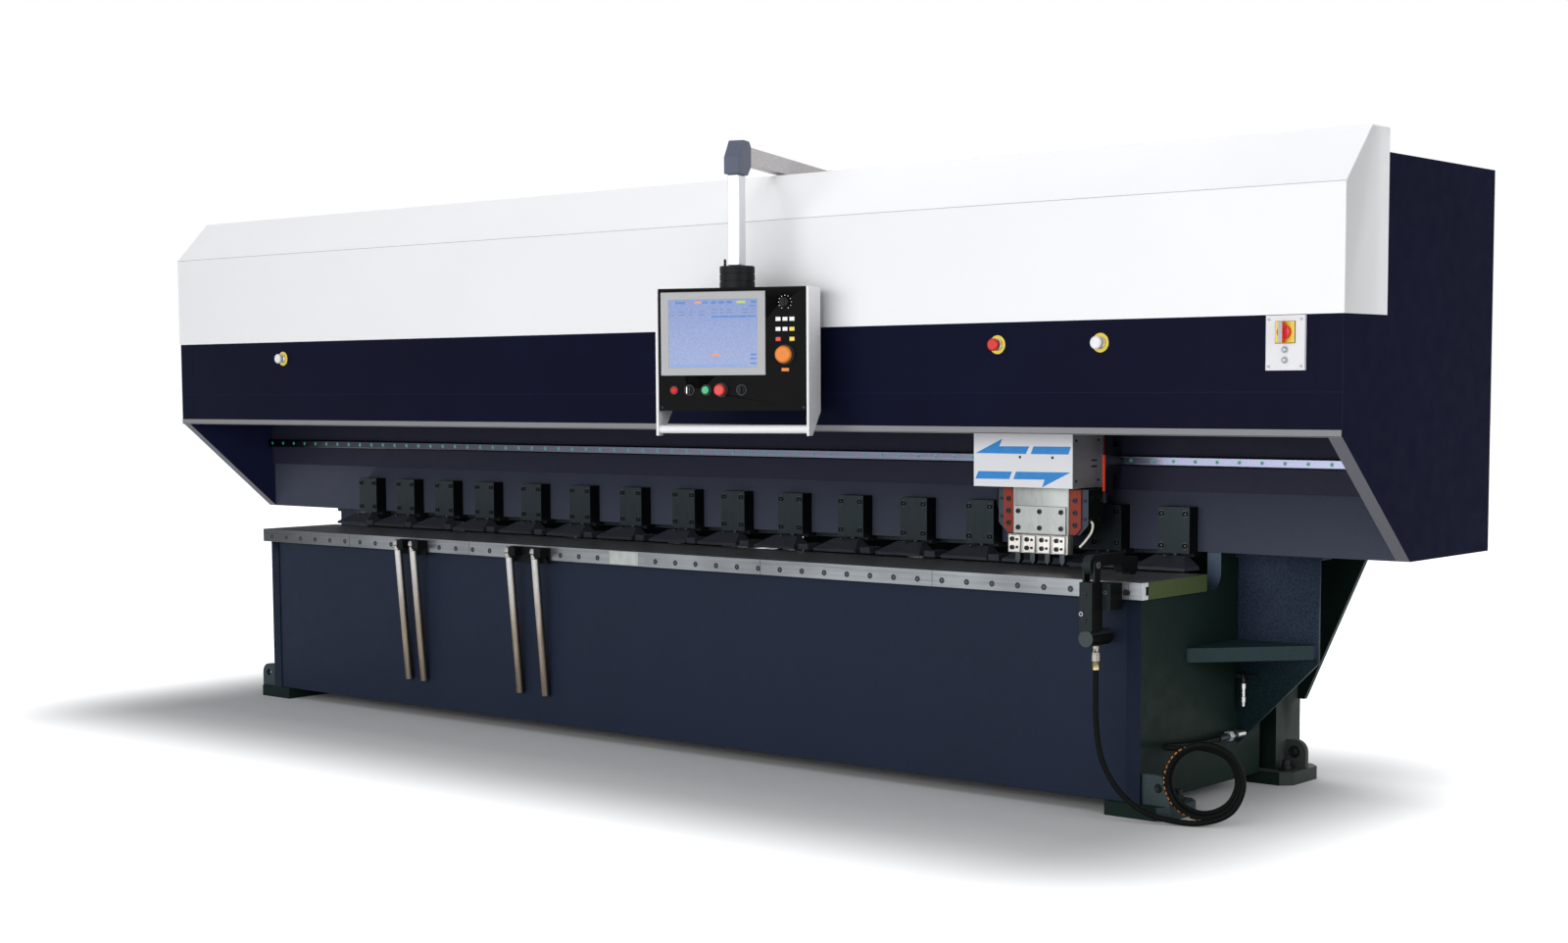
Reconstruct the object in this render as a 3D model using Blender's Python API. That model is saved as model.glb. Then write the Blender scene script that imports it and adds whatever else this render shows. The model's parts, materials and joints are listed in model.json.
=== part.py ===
"""Vertical V-grooving machine for sheet metal: base, table, crossbeam, hood, carriage and pendant.

Units are metres, +Z is up and the operator stands on the -Y side. The origin is on the floor,
at the middle of the machine's bounding box.
"""
import math

import bmesh
import bpy
from mathutils import Vector

# ---------------------------------------------------------------- general fits
GAP = 0.0003                # between faces that touch on the real machine
RUN = 0.0005                # around the guide rails
OVERLAP = 0.003             # how far a welded plate reaches into its neighbour

# ---------------------------------------------------------------- datum
RAIL_FACE_Y = 0.0925        # front face of the carriage rails
TABLE_TOP_Z = 0.735

# ---------------------------------------------------------------- table and base
TABLE_LENGTH = 4.420
TABLE_THICKNESS = 0.054
STRIP_FRONT_Y = RAIL_FACE_Y - 0.467
STRIP_DEPTH = 0.035
STRIP_GROOVE_DEPTH = 0.014
STRIP_GROOVE_HEIGHT = 0.026
TABLE_BACK_Y = RAIL_FACE_Y - 0.075
BASE_FRONT_Y = RAIL_FACE_Y - 0.440
BASE_BACK_Y = RAIL_FACE_Y + 0.320
BASE_BOTTOM_Z = 0.042
SIDE_PLATE_THICKNESS = 0.050
SIDE_PLATE_INSET = 0.020    # from the table's end to the side plate's outer face
FRONT_PANEL_RECESS = 0.004
FRONT_PANEL_THICKNESS = 0.012

# ---------------------------------------------------------------- throat and outriggers
SHEET_SLOT = 0.062          # table top to the underside of the crossbeam
THROAT_BACK_Y = RAIL_FACE_Y + 0.050
THROAT_FILLET = 0.050
COLUMN_BACK_Y = RAIL_FACE_Y + 0.560
COLUMN_STEP_Z = 0.300
OUTRIGGER_REACH = 0.285
WEB_FRONT_Y = RAIL_FACE_Y + 0.165
WEB_THICKNESS = 0.020
WEB_TOE_Z = 0.158
FLANGE_THICKNESS = 0.022
FLANGE_FRONT_Y = WEB_FRONT_Y - 0.018
FLANGE_BACK_Y = WEB_FRONT_Y + 0.090
SHELF_TOP_Z = 0.505
SHELF_THICKNESS = 0.045
SHELF_FRONT_Y = RAIL_FACE_Y - 0.165
SHELF_CORNER = 0.030
WING_THICKNESS = 0.020
WING_BOTTOM_Z = 0.268
WING_TOE = 0.050

# ---------------------------------------------------------------- feet
FOOT_THICKNESS = 0.044
FOOT_OUTSET = 0.102
FOOT_INSET = 0.070
REAR_FOOT_INSET = 0.030
FOOT_CHAMFER = 0.035
FRONT_FOOT_LENGTH = 0.215
REAR_FOOT_FRONT_Y = RAIL_FACE_Y + 0.335
LEG_FRONT_Y = RAIL_FACE_Y + 0.388
LEG_OUTSET = 0.025
LUG_THICKNESS = 0.020
LUG_HEIGHT = 0.095
LUG_HOLE_RADIUS = 0.015
LUG_SETBACK = 0.012
REAR_LUG_FRONT_Y = RAIL_FACE_Y + 0.460

# ---------------------------------------------------------------- crossbeam and guides
BEAM_BOTTOM_Z = TABLE_TOP_Z + SHEET_SLOT
BEAM_HEIGHT = 0.753
BEAM_FACE_Y = RAIL_FACE_Y + 0.0385
BEAM_BACK_Y = RAIL_FACE_Y + 0.520
BEAM_WALL = 0.030
APRON_THICKNESS = 0.012
APRON_DROP = 0.137          # apron below the beam's underside
APRON_CLEARANCE = 0.002
RAIL_DEPTH = 0.028
RAIL_WIDTH = 0.034
RAIL_CHAMFER = 0.004
PAD_RISE = 0.196            # beam underside to the step of the machined rail pad
LOWER_RAIL_Z = BEAM_BOTTOM_Z + 0.293
RAIL_SPACING = 0.360
RACK_SIZE = 0.030
PINION_RADIUS = 0.040
PINION_TEETH = 20
PINION_Z = LOWER_RAIL_Z + RAIL_SPACING / 2

# ---------------------------------------------------------------- hood
HOOD_LENGTH = 5.686
HOOD_SIDE_THICKNESS = 0.045
HOOD_FRONT_Y = RAIL_FACE_Y - 0.429
HOOD_BACK_Y = RAIL_FACE_Y + 0.619
HOOD_EDGE_Z = BEAM_BOTTOM_Z + 0.390
HOOD_LIP_DEPTH = 0.040
HOOD_LIP_HEIGHT = 0.019
HOOD_FLANGE = 0.030
SHEET = 0.004
CAP_PROUD = 0.003
CAP_BOTTOM_Z = HOOD_EDGE_Z + 0.354
CAP_FOLD_Z = CAP_BOTTOM_Z + 0.375
CAP_TOP_Z = CAP_FOLD_Z + 0.171
CAP_SLOPE_DEPTH = 0.162
CAP_BACK_Y = RAIL_FACE_Y - 0.153
ROOF_DROP = 0.070           # cap top down to the roof
ROOF_TUCK = 0.110           # how far the roof runs forward under the cap

# ---------------------------------------------------------------- clamps
CLAMP_FIRST_X = 0.1285
CLAMP_WIDE_PITCH = 0.288
CLAMP_WIDE_COUNT = 4
CLAMP_NARROW_PITCH = 0.257
CLAMP_END_MARGIN = 0.155    # last clamp's centre to the table's end
CLAMP_WIDTH = 0.118
CLAMP_FRONT_Y = RAIL_FACE_Y - 0.016
CLAMP_BOTTOM_Z = BEAM_BOTTOM_Z - 0.005
CLAMP_HEIGHT = 0.151
MANIFOLD_SIZE = 0.018
MANIFOLD_REACH = 0.045
PRESS_TRAVEL = 0.008
PRESS_FOOT_WIDTH = 0.195
PRESS_FOOT_TOP_WIDTH = 0.112
PRESS_FOOT_FRONT_Y = RAIL_FACE_Y - 0.112
PRESS_FOOT_BACK_Y = RAIL_FACE_Y - 0.020
PRESS_FOOT_NOSE = 0.010
PRESS_FOOT_RIDGE = 0.022
PRESS_TAB_WIDTH = 0.044
PRESS_TAB_HEIGHT = 0.022
PRESS_BAR_HEIGHT = 0.016
PRESS_ROD_RADIUS = 0.008
PRESS_ROD_REACH = 0.015    # how far a rod stands in its cylinder

# ---------------------------------------------------------------- carriage and head
HEAD_X = 1.680
SADDLE_FRONT_Y = RAIL_FACE_Y - 0.098
SADDLE_BACK_Y = RAIL_FACE_Y - 0.036
SADDLE_BOTTOM_Z = TABLE_TOP_Z + 0.240
SADDLE_TOP_Z = LOWER_RAIL_Z + 0.430
BLOCK_LENGTH = 0.110
BLOCK_HEIGHT = 0.090
BLOCK_BACK_Y = RAIL_FACE_Y + 0.020
BLOCK_OFFSET = 0.090
HOUSING_FRONT_Y = RAIL_FACE_Y - 0.220
HOUSING_BACK_Y = RAIL_FACE_Y - 0.133
HOUSING_HALF_WIDTH = 0.176
HOUSING_NECK_HALF_WIDTH = 0.130
HOUSING_BOTTOM_Z = TABLE_TOP_Z + 0.117
HOUSING_SHOULDER_Z = TABLE_TOP_Z + 0.266
HOUSING_TOP_Z = TABLE_TOP_Z + 0.735
HOUSING_CHAMFER = 0.033
SLIDE_HALF_WIDTH = 0.1085
SLIDE_FRONT_Y = RAIL_FACE_Y - 0.232
SLIDE_THICKNESS = 0.042
SLIDE_HEIGHT = 0.450
SCREW_Y = RAIL_FACE_Y - 0.171
SCREW_RADIUS = 0.010
NUT_HALF_WIDTH = 0.035
NUT_HEIGHT = 0.080
NUT_RISE = 0.350
TOP_PLATE = 0.020
GIB_INNER = 0.109
GIB_WIDTH = 0.043
GIB_PROUD = 0.008
PLATE_HALF_WIDTH = 0.101
PLATE_HEIGHT = 0.090
PLATE_THICKNESS = 0.008
FEED_MOTOR_SIZE = 0.080
FEED_MOTOR_HEIGHT = 0.110
NUT_BACK_Y = RAIL_FACE_Y - 0.152
HOLDER_HALF_WIDTH = 0.117
HOLDER_FRONT_Y = RAIL_FACE_Y - 0.250
HOLDER_DEPTH = 0.045
HOLDER_HEIGHT = 0.061
TOOL_PITCH = 0.058
TOOL_WIDTH = 0.020
TOOL_LENGTH = 0.037
COVER_LEFT = 0.236
COVER_RIGHT = 0.154
COVER_FRONT_Y = RAIL_FACE_Y - 0.280
COVER_BOTTOM_Z = TABLE_TOP_Z + 0.271
COVER_HEIGHT = 0.600
COVER_WALL = 0.003
DRIVE_OFFSET = 0.180        # pinion's axis to the left of the head's middle
GEARBOX_SIZE = 0.090
GEARBOX_DEPTH = 0.062
MOTOR_RADIUS = 0.040
MOTOR_DEPTH = 0.100
PINION_SHAFT_RADIUS = 0.012
AIR_TUBE_RADIUS = 0.005
AIR_TUBE_Y = RAIL_FACE_Y - 0.146
AIR_TUBE_OUT = 0.012       # housing side to the tube's axis
AIR_TUBE_FOOT = 0.115      # height of the elbow above the housing's underside
AIR_TUBE_TOP = 0.360       # height above the elbow where the tube turns into the cover

# ---------------------------------------------------------------- back gauge
GAUGE_REST_Y = RAIL_FACE_Y + 0.110
GAUGE_LENGTH = 3.900
GAUGE_DEPTH = 0.060
GAUGE_HEIGHT = 0.070
GAUGE_ARM_X = 1.200
GAUGE_ARM_WIDTH = 0.060
GAUGE_ARM_HEIGHT = 0.060
GAUGE_ARM_FRONT_Y = RAIL_FACE_Y - 0.040
REAR_PANEL_THICKNESS = 0.014
REAR_PANEL_TOP_Z = 0.620
REAR_PANEL_Y = RAIL_FACE_Y + 0.262
GAUGE_SCREW_RADIUS = 0.012
GAUGE_SCREW_DROP = 0.030    # table top down to the ball screw's axis
GAUGE_BRACKET_HALF_WIDTH = 0.040
GAUGE_BRACKET_DEPTH = 0.025

# ---------------------------------------------------------------- switches on the hood
SWITCH_PLATE_WIDTH = 0.125
SWITCH_PLATE_HEIGHT = 0.160
SWITCH_PLATE_DEPTH = 0.012
SWITCH_PLATE_INSET = 0.176  # plate's middle to the hood's end
SWITCH_PLATE_Z = HOOD_EDGE_Z + 0.272
SWITCH_RISE = 0.031
SWITCH_DISC_RADIUS = 0.021
SMALL_BUTTON_RADIUS = 0.0065
SMALL_BUTTON_DROPS = (0.020, 0.050)
HOOD_BUTTON_Z = HOOD_EDGE_Z + 0.283
HOOD_BUTTON_X = (-2.092, 1.644, 2.031)
BUTTON_STEM_RADIUS = 0.011
BUTTON_HEAD_RADIUS = 0.020
BUTTON_HEAD_DEPTH = 0.016
BUTTON_STAND = 0.018        # panel face to the back of the button's head

# ---------------------------------------------------------------- pendant and its arm
ARM_PIVOT_X = 0.341
ARM_PIVOT_Y = RAIL_FACE_Y + 0.287
ARM_ANGLE = math.radians(22.0)
ARM_LENGTH = 1.000
ARM_WIDTH = 0.044
ARM_HEIGHT = 0.058
ARM_CLEARANCE = 0.010       # cap top to the arm's underside
ARM_HUB_RADIUS = 0.052
BASE_FLANGE_RADIUS = 0.080
BASE_FLANGE_THICKNESS = 0.014
ELBOW_WIDTH = 0.056
ELBOW_FRONT = 0.050
ELBOW_BACK = 0.073
ELBOW_DROP = 0.042
ELBOW_RISE = 0.017
ELBOW_SLOPE = 0.049          # how far the crown leans back from the front face
DROP_TUBE_WIDTH = 0.040
DROP_TUBE_DEPTH = 0.070
DROP_TUBE_LENGTH = 0.306
SWIVEL_HEIGHT = 0.074
SWIVEL_RADIUS = 0.060
PENDANT_WIDTH = 0.533
PENDANT_DEPTH = 0.117
PENDANT_HEIGHT = 0.415
PENDANT_WALL = 0.003
PENDANT_SIDE_THICKNESS = 0.0085
PENDANT_FRONT_WALL = 0.018
CABLE_HOLE_RADIUS = 0.018
PENDANT_SIDE_PROUD = 0.007
HANDLE_DROP = 0.063
HANDLE_RADIUS = 0.014
HANDLE_FORWARD = 0.058
BEZEL_LEFT = 0.0105         # from the pendant's left edge
BEZEL_WIDTH = 0.377
BEZEL_TOP = 0.013
BEZEL_HEIGHT = 0.282
BEZEL_DEPTH = 0.006
CONTROL_STEM_RADIUS = 0.010
CONTROL_STEM_DEPTH = 0.009
CONTROL_BORE_DEPTH = 0.014
CONTROL_STAND = 0.006
KNOB_COLUMN = 0.190         # from the pendant's middle
SPEED_KNOB_DROP = 0.052
SPEED_KNOB_RADIUS = 0.017
ORANGE_DROP = 0.227
ORANGE_RADIUS = 0.029
ROW_DROP = 0.345
KEY_X = -0.155
GREEN_X = -0.094
STOP_X = -0.039
SELECTOR_X = 0.0335

# ---------------------------------------------------------------- sheet support arms
SUPPORT_PAIRS = ((-1.265, -1.172), (-0.600, -0.457))
SUPPORT_RADIUS = 0.016
SUPPORT_LENGTH = 0.560
SUPPORT_PIVOT_OUT = 0.034   # strip face to the pivot's axis
SUPPORT_PIVOT_DROP = 0.022
SUPPORT_EYE_WIDTH = 0.020
BRACKET_WIDTH = 0.052
BRACKET_PLATE = 0.010
BRACKET_HEIGHT = 0.060
BRACKET_TAIL = 0.050
SUPPORT_SHOULDER = 0.026

# ---------------------------------------------------------------- side clamp
SIDE_CLAMP_INSET = 0.124    # clamp's middle plane to the table's end
SIDE_BODY_WIDTH = 0.046
SIDE_BODY_FRONT_Y = RAIL_FACE_Y - 0.592
SIDE_BODY_DEPTH = 0.060
SIDE_BODY_BOTTOM_Z = TABLE_TOP_Z - 0.146
SIDE_BODY_TOP_Z = TABLE_TOP_Z + 0.004
SIDE_BRACKET_RIGHT = 0.052
SIDE_BRACKET_HEIGHT = 0.082
LEVER_WIDTH = 0.030
LEVER_PIVOT_Y = RAIL_FACE_Y - 0.560
LEVER_PIVOT_Z = TABLE_TOP_Z + 0.056
LEVER_NOSE_RADIUS = 0.034
LEVER_BACK_Y = RAIL_FACE_Y - 0.400
LEVER_PAD_BACK_Y = RAIL_FACE_Y - 0.315
LEVER_PAD_RISE = 0.013
LEVER_TOP = 0.030
LEVER_UNDER = 0.020
EAR_THICKNESS = 0.007
LEVER_PIN_RADIUS = 0.007
CYLINDER_RADIUS = 0.026
CYLINDER_Z = TABLE_TOP_Z - 0.169
CYLINDER_BACK_Y = RAIL_FACE_Y - 0.472
COUPLING_Y = RAIL_FACE_Y - 0.532
COUPLING_RADIUS = 0.011
COUPLING_LENGTH = 0.074

# ---------------------------------------------------------------- hose
HOSE_RADIUS = 0.009
HOSE_STEP = 0.044
HOSE_SIDES = 3
WALL_COUPLING_Y = RAIL_FACE_Y + 0.145
WALL_COUPLING_Z = 0.197
WALL_COUPLING_OUT = 0.025
WALL_COUPLING_REACH = 0.145
COIL_OUT = 0.210            # coil's centre, out from the side plate
COIL_CENTRE_Y = RAIL_FACE_Y - 0.416
COIL_CENTRE_Z = 0.136
COIL_HEADING = math.radians(25.0)
COIL_RADIUS = 0.122
COIL_TURNS = 2.5
COIL_SHRINK = 0.010         # radius lost in each turn
COIL_PITCH = 0.022
# X from the side clamp, then Z
HOSE_DROP_POINTS = (
    (0.0, 0.372), (0.001, 0.320), (0.007, 0.255), (0.023, 0.190),
)
# X from the side plate, Y from the rail's face, then Z
HOSE_FLOOR_POINTS = (
    (-0.050, -0.527, 0.128), (-0.003, -0.519, 0.075), (0.055, -0.503, 0.036), (0.120, -0.476, 0.016),
)
HOSE_RETURN_POINTS = (
    (0.134, -0.443, 0.234), (0.070, -0.408, 0.226), (0.033, -0.335, 0.217),
    (0.0255, -0.240, 0.207), (0.025, -0.140, 0.2005),
)

COLOURS = {
    "navy": ((0.016, 0.018, 0.035), 0.42, 0.0),
    "frame_green": ((0.016, 0.029, 0.031), 0.55, 0.0),
    "beam_blue": ((0.030, 0.036, 0.062), 0.50, 0.0),
    "white": ((0.90, 0.90, 0.92), 0.35, 0.0),
    "ground_steel": ((0.33, 0.33, 0.33), 0.35, 1.0),
    "bright_steel": ((0.60, 0.62, 0.64), 0.25, 1.0),
    "black_steel": ((0.020, 0.024, 0.026), 0.45, 0.6),
    "dark_steel": ((0.045, 0.050, 0.058), 0.40, 0.8),
    "aluminium": ((0.72, 0.73, 0.75), 0.30, 1.0),
    "black_paint": ((0.012, 0.013, 0.014), 0.40, 0.0),
    "grey_plastic": ((0.075, 0.080, 0.095), 0.50, 0.0),
    "screen": ((0.35, 0.45, 0.75), 0.15, 0.0),
    "red": ((0.55, 0.02, 0.02), 0.35, 0.0),
    "orange": ((0.85, 0.30, 0.02), 0.35, 0.0),
    "green": ((0.02, 0.30, 0.12), 0.35, 0.0),
    "button_white": ((0.85, 0.85, 0.85), 0.35, 0.0),
    "brass": ((0.60, 0.48, 0.25), 0.30, 1.0),
    "rubber": ((0.015, 0.016, 0.017), 0.60, 0.0),
    "plate_grey": ((0.62, 0.63, 0.65), 0.35, 1.0),
}

AXES = {"X": (1, 2, 0), "Y": (0, 2, 1), "Z": (0, 1, 2)}


# ================================================================ mesh helpers
def clear_scene():
    """Remove every object that the scene holds."""
    for item in list(bpy.data.objects):
        bpy.data.objects.remove(item, do_unlink=True)


def finish(name):
    """Return the named Principled material."""
    if name in bpy.data.materials:
        return bpy.data.materials[name]
    colour, roughness, metallic = COLOURS[name]
    made = bpy.data.materials.new(name)
    made.use_nodes = True
    shader = made.node_tree.nodes["Principled BSDF"]
    shader.inputs["Base Color"].default_value = (*colour, 1.0)
    shader.inputs["Roughness"].default_value = roughness
    shader.inputs["Metallic"].default_value = metallic
    return made


def add_prism(bm, axis, outline, start, end):
    """Add a closed prism: an outline drawn across an axis, pulled from start to end."""
    first, second, along = AXES[axis]
    rings = []
    for level in (start, end):
        ring = []
        for point in outline:
            place = [0.0, 0.0, 0.0]
            place[first] = point[0]
            place[second] = point[1]
            place[along] = level
            ring.append(bm.verts.new(place))
        rings.append(ring)
    faces = [bm.faces.new(rings[0]), bm.faces.new(rings[1])]
    count = len(outline)
    for i in range(count):
        j = (i + 1) % count
        faces.append(bm.faces.new((rings[0][i], rings[0][j], rings[1][j], rings[1][i])))
    bmesh.ops.recalc_face_normals(bm, faces=faces)


def add_box(bm, low, high):
    """Add a closed box between two opposite corners, given in any order."""
    xs = sorted((low[0], high[0]))
    ys = sorted((low[1], high[1]))
    zs = sorted((low[2], high[2]))
    outline = [(xs[0], ys[0]), (xs[1], ys[0]), (xs[1], ys[1]), (xs[0], ys[1])]
    add_prism(bm, "Z", outline, zs[0], zs[1])


def circle(centre, radius, sides, turn=0.0):
    """Points of a regular polygon round a centre."""
    steps = [turn + 2 * math.pi * i / sides for i in range(sides)]
    return [(centre[0] + radius * math.cos(a), centre[1] + radius * math.sin(a)) for a in steps]


def arc(centre, radius, start, end, steps):
    """Points along an arc, with angles in degrees."""
    angles = [math.radians(start + (end - start) * i / steps) for i in range(steps + 1)]
    return [(centre[0] + radius * math.cos(a), centre[1] + radius * math.sin(a)) for a in angles]


def box(low, high):
    """A shape holding one box."""
    bm = bmesh.new()
    add_box(bm, low, high)
    return bm


def prism(axis, outline, start, end):
    """A shape holding one prism."""
    bm = bmesh.new()
    add_prism(bm, axis, outline, start, end)
    return bm


def rod(axis, centre, radius, start, end, sides=24):
    """A shape holding one round bar."""
    return prism(axis, circle(centre, radius, sides), start, end)


def turned(axis, centre, profile, sides=28):
    """A shape turned round an axis from (position, radius) steps, closed at both ends."""
    first, second, along = AXES[axis]
    bm = bmesh.new()
    rings = []
    for position, radius in profile:
        ring = []
        for point in circle(centre, radius, sides):
            place = [0.0, 0.0, 0.0]
            place[first] = point[0]
            place[second] = point[1]
            place[along] = position
            ring.append(bm.verts.new(place))
        rings.append(ring)
    bm.faces.new(rings[0])
    bm.faces.new(rings[-1])
    for lower, upper in zip(rings, rings[1:]):
        for i in range(sides):
            j = (i + 1) % sides
            bm.faces.new((lower[i], lower[j], upper[j], upper[i]))
    bmesh.ops.recalc_face_normals(bm, faces=bm.faces)
    return bm


def place_shape(name, shape, colour, parent):
    """Turn a shape into an object."""
    mesh = bpy.data.meshes.new(name)
    shape.to_mesh(mesh)
    shape.free()
    mesh.materials.append(finish(colour))
    made = bpy.data.objects.new(name, mesh)
    bpy.context.scene.collection.objects.link(made)
    if parent is not None:
        made.parent = parent
    return made


def combine(target, shape, operation, parent):
    """Join a shape to an object, or cut it away, with a Boolean modifier."""
    tool_name = f"{target.name}_{operation.lower()}_{len(target.modifiers) + 1}"
    tool = place_shape(tool_name, shape, "black_paint", parent)
    tool.hide_render = True
    tool.display_type = "WIRE"
    step = target.modifiers.new(tool_name, "BOOLEAN")
    step.operation = operation
    step.solver = "EXACT"
    step.object = tool


def piece(name, colour, shape, joined=(), cut=(), parent=None):
    """Make one named sub-part from a shape, shapes joined to it and shapes cut from it."""
    made = place_shape(name, shape, colour, parent)
    for other in joined:
        combine(made, other, "UNION", parent)
    for other in cut:
        combine(made, other, "DIFFERENCE", parent)
    made.data.shade_smooth()
    made.data.set_sharp_from_angle(angle=math.radians(35))
    return made


def pivot(name, location, turn=0.0, parent=None):
    """An empty on a joint's axis, which carries the pieces that turn round it."""
    made = bpy.data.objects.new(name, None)
    made.location = location
    made.rotation_euler = (0.0, 0.0, turn)
    bpy.context.scene.collection.objects.link(made)
    if parent is not None:
        made.parent = parent
    return made


# ================================================================ derived places
TABLE_UNDERSIDE_Z = TABLE_TOP_Z - TABLE_THICKNESS
SIDE_OUTER_X = TABLE_LENGTH / 2 - SIDE_PLATE_INSET
SIDE_INNER_X = SIDE_OUTER_X - SIDE_PLATE_THICKNESS
SLAB_FRONT_Y = STRIP_FRONT_Y + STRIP_DEPTH + GAP
HOOD_INNER_X = HOOD_LENGTH / 2 - HOOD_SIDE_THICKNESS
BEAM_HALF_LENGTH = HOOD_INNER_X - GAP
BEAM_TOP_Z = BEAM_BOTTOM_Z + BEAM_HEIGHT
RAIL_PAD_Y = RAIL_FACE_Y + RAIL_DEPTH
UPPER_RAIL_Z = LOWER_RAIL_Z + RAIL_SPACING
ROOF_Z = CAP_TOP_Z - ROOF_DROP
ROOF_FRONT_Y = CAP_BACK_Y - ROOF_TUCK
SLIDE_BOTTOM_Z = HOUSING_BOTTOM_Z - 0.002
ROD_Y = CLAMP_FRONT_Y + 0.015
DRIVE_X = HEAD_X - DRIVE_OFFSET
ARM_BOTTOM_Z = CAP_TOP_Z + ARM_CLEARANCE
ELBOW_BOTTOM_Z = ARM_BOTTOM_Z - ELBOW_DROP
DROP_TUBE_TOP_Z = ELBOW_BOTTOM_Z - GAP
DROP_TUBE_BOTTOM_Z = DROP_TUBE_TOP_Z - DROP_TUBE_LENGTH
SWIVEL_TOP_Z = DROP_TUBE_BOTTOM_Z - GAP
PENDANT_TOP_Z = SWIVEL_TOP_Z - SWIVEL_HEIGHT - GAP
PENDANT_FACE_Y = -PENDANT_DEPTH / 2
SIDE_CLAMP_X = TABLE_LENGTH / 2 - SIDE_CLAMP_INSET
SUPPORT_PIVOT_Y = STRIP_FRONT_Y - SUPPORT_PIVOT_OUT
SUPPORT_PIVOT_Z = TABLE_TOP_Z - SUPPORT_PIVOT_DROP


# ================================================================ base and table
def side_plate_outline():
    """Side plate seen from the end, with the throat that the sheet passes through."""
    top = BEAM_BOTTOM_Z - GAP
    sill = TABLE_UNDERSIDE_Z - GAP
    centre = (THROAT_BACK_Y - THROAT_FILLET, sill + THROAT_FILLET)
    fillet = arc(centre, THROAT_FILLET, 0, -90, 6)
    return [
        (BASE_FRONT_Y, BASE_BOTTOM_Z), (BASE_BACK_Y, BASE_BOTTOM_Z), (BASE_BACK_Y, COLUMN_STEP_Z),
        (COLUMN_BACK_Y, COLUMN_STEP_Z), (COLUMN_BACK_Y, top), (THROAT_BACK_Y, top),
        *fillet, (BASE_FRONT_Y, sill),
    ]


def foot_outline(side, front_y, back_y, inset):
    """Foot plate seen from above, with its outer corners cut off."""
    inner = side * (SIDE_INNER_X - inset)
    outer = side * (SIDE_OUTER_X + FOOT_OUTSET)
    near = side * (SIDE_OUTER_X + FOOT_OUTSET - FOOT_CHAMFER)
    return [
        (inner, front_y), (near, front_y), (outer, front_y + FOOT_CHAMFER),
        (outer, back_y - FOOT_CHAMFER), (near, back_y), (inner, back_y),
    ]


def lug(side, front_y, hole_out):
    """Lifting lug that stands on a foot plate, and the hole through it."""
    inner = side * (SIDE_OUTER_X - OVERLAP)
    centre_x = SIDE_OUTER_X + hole_out
    top = FOOT_THICKNESS + LUG_HEIGHT
    radius = 0.040
    centre = (centre_x, top - radius)
    crown = [(side * x, z) for x, z in arc(centre, radius, 0, 90, 5)]
    outline = [(inner, FOOT_THICKNESS - OVERLAP), (side * (centre_x + radius), FOOT_THICKNESS - OVERLAP)]
    plate = prism("Y", outline + crown + [(inner, top)], front_y, front_y + LUG_THICKNESS)
    hole = rod("Y", (side * centre_x, top - radius), LUG_HOLE_RADIUS,
               front_y - 0.01, front_y + LUG_THICKNESS + 0.01, 16)
    return plate, hole


def shelf_outline(side):
    """Triangular shelf of the outrigger, seen from above, with a rounded front corner."""
    wall = side * (SIDE_OUTER_X - OVERLAP)
    reach = side * (SIDE_OUTER_X + OUTRIGGER_REACH)
    centre = (SIDE_OUTER_X, SHELF_FRONT_Y + SHELF_CORNER)
    corner = [(side * x, y) for x, y in arc(centre, SHELF_CORNER, -90, -45, 3)]
    back = WEB_FRONT_Y + OVERLAP
    return [(wall, SHELF_FRONT_Y), *corner, (reach, WEB_FRONT_Y - 0.025), (reach, back), (wall, back)]


def side_frame(side, name):
    """Side plate with its outrigger, rear leg and two feet, welded into one."""
    top = BEAM_BOTTOM_Z - GAP
    wall = side * (SIDE_OUTER_X - OVERLAP)
    reach = side * (SIDE_OUTER_X + OUTRIGGER_REACH)
    plate = prism("X", side_plate_outline(), side * SIDE_INNER_X, side * SIDE_OUTER_X)
    web_outline = [(wall, WEB_TOE_Z), (reach, WEB_TOE_Z + OUTRIGGER_REACH), (reach, top - 0.001), (wall, top - 0.001)]
    web = prism("Y", web_outline, WEB_FRONT_Y, WEB_FRONT_Y + WEB_THICKNESS)
    flange = box((wall, FLANGE_FRONT_Y, top - FLANGE_THICKNESS), (reach, FLANGE_BACK_Y, top))
    shelf = prism("Z", shelf_outline(side), SHELF_TOP_Z - SHELF_THICKNESS, SHELF_TOP_Z)
    wing_toe = side * (SIDE_OUTER_X + WING_TOE)
    wing_outline = [(wall, WING_BOTTOM_Z), (wing_toe, WING_BOTTOM_Z), (reach, top - 0.001), (wall, top - 0.001)]
    wing_back = COLUMN_BACK_Y - 0.001
    wing = prism("Y", wing_outline, wing_back - WING_THICKNESS, wing_back)
    leg_low = (side * (SIDE_INNER_X + 0.001), LEG_FRONT_Y, FOOT_THICKNESS - OVERLAP)
    leg = box(leg_low, (side * (SIDE_OUTER_X + LEG_OUTSET), COLUMN_BACK_Y - 0.002, top - 0.002))
    front_y = BASE_FRONT_Y - 0.015
    front_foot = prism("Z", foot_outline(side, front_y, front_y + FRONT_FOOT_LENGTH, FOOT_INSET), 0.0, FOOT_THICKNESS)
    rear_foot = prism("Z", foot_outline(side, REAR_FOOT_FRONT_Y, COLUMN_BACK_Y + 0.010, REAR_FOOT_INSET), 0.0, FOOT_THICKNESS)
    front_lug, front_hole = lug(side, BASE_FRONT_Y + LUG_SETBACK, 0.058)
    rear_lug, rear_hole = lug(side, REAR_LUG_FRONT_Y, 0.058)
    joined = (web, flange, shelf, wing, leg, front_foot, rear_foot, front_lug, rear_lug)
    return piece(name, "frame_green", plate, joined, (front_hole, rear_hole))


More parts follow.
